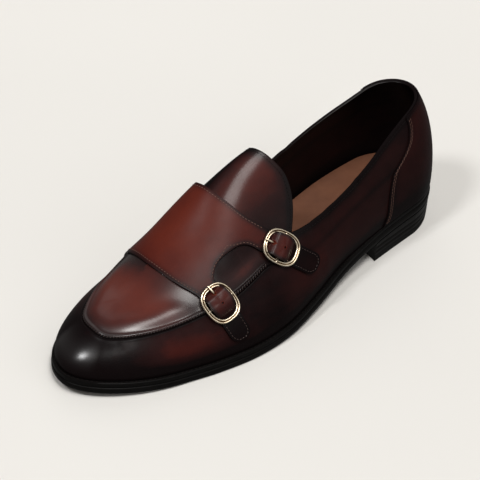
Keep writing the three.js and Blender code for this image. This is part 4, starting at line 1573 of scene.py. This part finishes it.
# %% [markdown]
# ## One skin
# Panel and straps are cut from one piece of calf. Their grids share the points where they meet, so joining
# and welding gives one sheet, which then gets its thickness. The holes are punched last, by a Boolean with a
# thin cylinder, as a maker punches them through the finished strap.

# %% Join, skive and punch
def join(target, *others):
    deselect()
    for piece in (target, *others):
        piece.select_set(True)
    bpy.context.view_layer.objects.active = target
    bpy.ops.object.join()
    return target


def punch(saddle, name, along, radius, depth):
    """Cuts a round hole into a strap, from its outer face."""
    axes = AXES[name]
    centre = on_strap(name, np.array([along]), np.array([0.0]), GAP + SADDLE)[0]
    turn = Matrix(np.stack([axes["along"], axes["across"], axes["out"]], 1).tolist()).to_4x4()
    deselect()
    bpy.ops.mesh.primitive_cylinder_add(vertices=18, radius=radius * MM, depth=depth * MM)
    cutter = bpy.context.object
    cutter.matrix_world = Matrix.Translation(Vector(centre * MM)) @ turn
    modify(saddle, "BOOLEAN", object=cutter, operation="DIFFERENCE", solver="EXACT")
    bpy.data.objects.remove(cutter)


def make_saddle():
    panel = make_panel_grid()
    straps = [make_strap_grid(name) for name in STRAPS]
    for piece in (panel, *straps):
        out = np.mean([np.array(face.normal) for face in piece.data.polygons], axis=0)
        if out[2] < 0:
            flip(piece)
    saddle = join(panel, *straps)
    weld(saddle, outwards=False)
    skive(saddle, SADDLE, 0.4, outward=True)
    for name in STRAPS:
        punch(saddle, name, **PRONG_HOLE)
        punch(saddle, name, **SPARE_HOLE)
    finishes = [strap_calf, lining_leather, cut_edge]
    return hand_over(saddle, "panel_leather", "saddle", finishes=finishes, angle=50)


make_saddle()

# %% [markdown]
# ## Panel stitches
# One row of brown thread follows the front edge, the rear edge and the cut-out, two millimetres in. Its path
# is the edge's own chart, moved in, so that it stays parallel to the edge.

# %% Stitches of the panel
PANEL_STITCH = {"pitch": 2.1, "length": 1.5, "width": 0.45, "height": 0.28}
OVER_IN_MM = 60


def edge_path(at, over):
    return path_over(at, over, GAP + SADDLE)


def sew_panel():
    over = np.linspace(-0.9, 0.43, 200)
    front = edge_path(read(PANEL_FRONT, "at", over, "over") - 2.4, over)
    over = np.linspace(-0.9, 0.44, 220)
    rear = edge_path(read(PANEL_REAR, "at", over, "over") + 2.0, over)
    cut = cut_out()
    outwards = cut - cut.mean(0)
    length = np.linalg.norm(outwards * [1, OVER_IN_MM], axis=1)[:, None]
    shifted = cut + outwards / length * 1.9
    around = edge_path(shifted[:, 0], shifted[:, 1])
    return sew("saddle_stitches", [front, rear, around], light_thread, "panel_leather", **PANEL_STITCH)


sew_panel()

# %% [markdown]
# ## Strap stitches
# Behind the buckle each strap is edged with dark waxed thread, which goes round the tip and back.

# %% Stitches of the straps
STITCHES_START = 9.5


def sew_straps():
    paths = []
    for name, strap in STRAPS.items():
        along = np.linspace(STITCHES_START, strap["reach"] - 1.6, 60)
        half = np.maximum(strap_half_width(along + 0.9, strap["reach"]) - 1.5, 0.05)
        side = np.stack([along, half], 1)
        loop = np.concatenate([side, (side * [1, -1])[::-1]])
        points = on_strap(name, loop[:, 0], loop[:, 1], GAP + SADDLE)
        normals = points - on_strap(name, loop[:, 0], loop[:, 1], GAP + SADDLE - 1)
        paths.append((points, normals))
    return sew("strap_stitches", paths, waxed_thread, "panel_leather", **PANEL_STITCH)


sew_straps()

# %% [markdown]
# ## Buckles
# A buckle is a rounded frame of wire with two ridges, a bar across its middle and a prong. The frame starts
# as a torus: its ring is squared off a little, and its round section is given the two ridges. A closed curve
# with a bevel profile would do too, but a torus's own points can also carry the number *groove*.

# %% Buckle frames
BUCKLE_HALF_LENGTH = 12.6
BUCKLE_HALF_WIDTH = 10.8
BUCKLE_SQUARENESS = 2.6
FRAME_WIDTH = 2.7
FRAME_HEIGHT = 2.4


def buckle_space(name, along, across, above):
    axes = AXES[name]
    parts = ((along, "along"), (across, "across"), (above, "out"))
    return axes["centre"] + sum(np.asarray(value)[..., None] * axes[key] for value, key in parts)


def add_rod(label, name, radius):
    """The bar: a cylinder laid across the buckle."""
    deselect()
    bpy.ops.mesh.primitive_cylinder_add(vertices=20, radius=1, depth=2)
    rod = bpy.context.object
    rod.name = label
    points = get_points(rod)
    half = BUCKLE_HALF_WIDTH - FRAME_WIDTH / 2
    place = buckle_space(name, points[:, 0] * radius, points[:, 2] * half, BAR_HEIGHT + points[:, 1] * radius)
    set_points(rod, place)
    weld(rod)
    return rod


def make_frame(name):
    deselect()
    bpy.ops.mesh.primitive_torus_add(
        major_segments=96, minor_segments=20, major_radius=1, minor_radius=0.25,
    )
    frame_ring = bpy.context.object
    frame_ring.name = "buckle_frame_" + name
    points = get_points(frame_ring)
    ring = np.arctan2(points[:, 1], points[:, 0])
    section = np.arctan2(points[:, 2], np.hypot(points[:, 0], points[:, 1]) - 1)
    width = 0.5 * np.cos(section)
    dip = 0.34 * near(width, 0.02, 0.14)
    upper_side = np.sin(section) > 0
    ridges = (0.5 - dip) * np.abs(np.sin(section)) ** 0.75
    height = np.where(upper_side, ridges, 0.42 * np.sin(section))
    inward = FRAME_WIDTH * (0.5 - width)
    power = 2 / BUCKLE_SQUARENESS
    bent = [np.sign(v) * np.abs(v) ** power for v in (np.cos(ring), np.sin(ring))]
    along = (BUCKLE_HALF_LENGTH - inward) * bent[0]
    across = (BUCKLE_HALF_WIDTH - inward) * bent[1]
    set_points(frame_ring, buckle_space(name, along, across, BAR_HEIGHT + height * FRAME_HEIGHT))
    # The groove between the two ridges is marked here, and the brass paints it darker as painted shade.
    paint(frame_ring, "groove", near(width, 0.02, 0.13) * upper_side)
    weld(frame_ring)
    bar = add_rod("bar_" + name, name, BAR_RADIUS)
    buckle = join(frame_ring, bar)
    return hand_over(buckle, "buckle_metal", "buckle_" + name, finishes=[pale_brass], angle=60)


for strap_name in STRAPS:
    make_frame(strap_name)

# %% [markdown]
# ## Prongs
# A prong is a pin with an eye round the bar. It comes up through the strap's hole and rests on the frame. A
# tube is swept along its path, because the eye, the rise and the tapered tip are one piece of wire.

# %% Prongs
PRONG_SIDES = 14
PRONG_SWELL = 1.15


def prong_path():
    loop = BAR_RADIUS + GAP + PRONG_RADIUS
    turns = np.radians(np.arange(-5, 146, 25))
    over_frame = BAR_HEIGHT + FRAME_HEIGHT / 2 + GAP + PRONG_RADIUS
    start = np.stack([loop * np.cos(turns), BAR_HEIGHT + loop * np.sin(turns)], 1)
    rest = [(-2.6, BAR_HEIGHT + 0.5), (-5.0, BAR_HEIGHT + 0.8), (-6.8, BAR_HEIGHT + 1.7)]
    rest += [(-8.4, over_frame + 0.25), (-10.0, over_frame + 0.2)]
    rest += [(-11.6, over_frame), (-12.9, over_frame - 0.4)]
    return np.concatenate([start, rest])


def make_prong(name):
    knots = prong_path()
    run = np.arange(len(knots), dtype=float)
    fine = np.linspace(0, run[-1], 60)
    table = {"at": run, "along": knots[:, 0], "above": knots[:, 1]}
    path = np.stack([read(table, "along", fine), read(table, "above", fine)], 1)
    direction = np.gradient(path, axis=0)
    direction /= np.linalg.norm(direction, axis=1, keepdims=True)
    prong, column, row = unit_grid("prong_pin_" + name, PRONG_SIDES + 1, len(path) + 2)
    step = np.clip(row - 1, 0, len(path) - 1)
    taper = 1 - 0.35 * smooth(step, len(path) - 10, len(path))
    open_rows = (row > 0) & (row < len(path) + 1)
    radius = PRONG_RADIUS * taper * open_rows * PRONG_SWELL
    angle = 2 * np.pi * column / PRONG_SIDES
    up = radius * np.cos(angle)
    along = path[step, 0] - direction[step, 1] * up
    above = path[step, 1] + direction[step, 0] * up
    set_points(prong, buckle_space(name, along, radius * np.sin(angle), above))
    weld(prong)
    return hand_over(prong, "buckle_metal", "prong_" + name, finishes=[pale_brass], angle=60)


for strap_name in STRAPS:
    make_prong(strap_name)

# %% [markdown]
# ## Chapes
# A chape is the short leather loop that holds the bar to the shoe. It is hidden under the strap, so its CAD
# shape is kept and only its finish is changed.

# %% The chapes' leather
for strap_name in STRAPS:
    chape = frame["nodes"]["chape_" + strap_name]
    chape.data.materials.clear()
    chape.data.materials.append(strap_calf)
    print(chape.name, "is finished in", strap_calf.name)
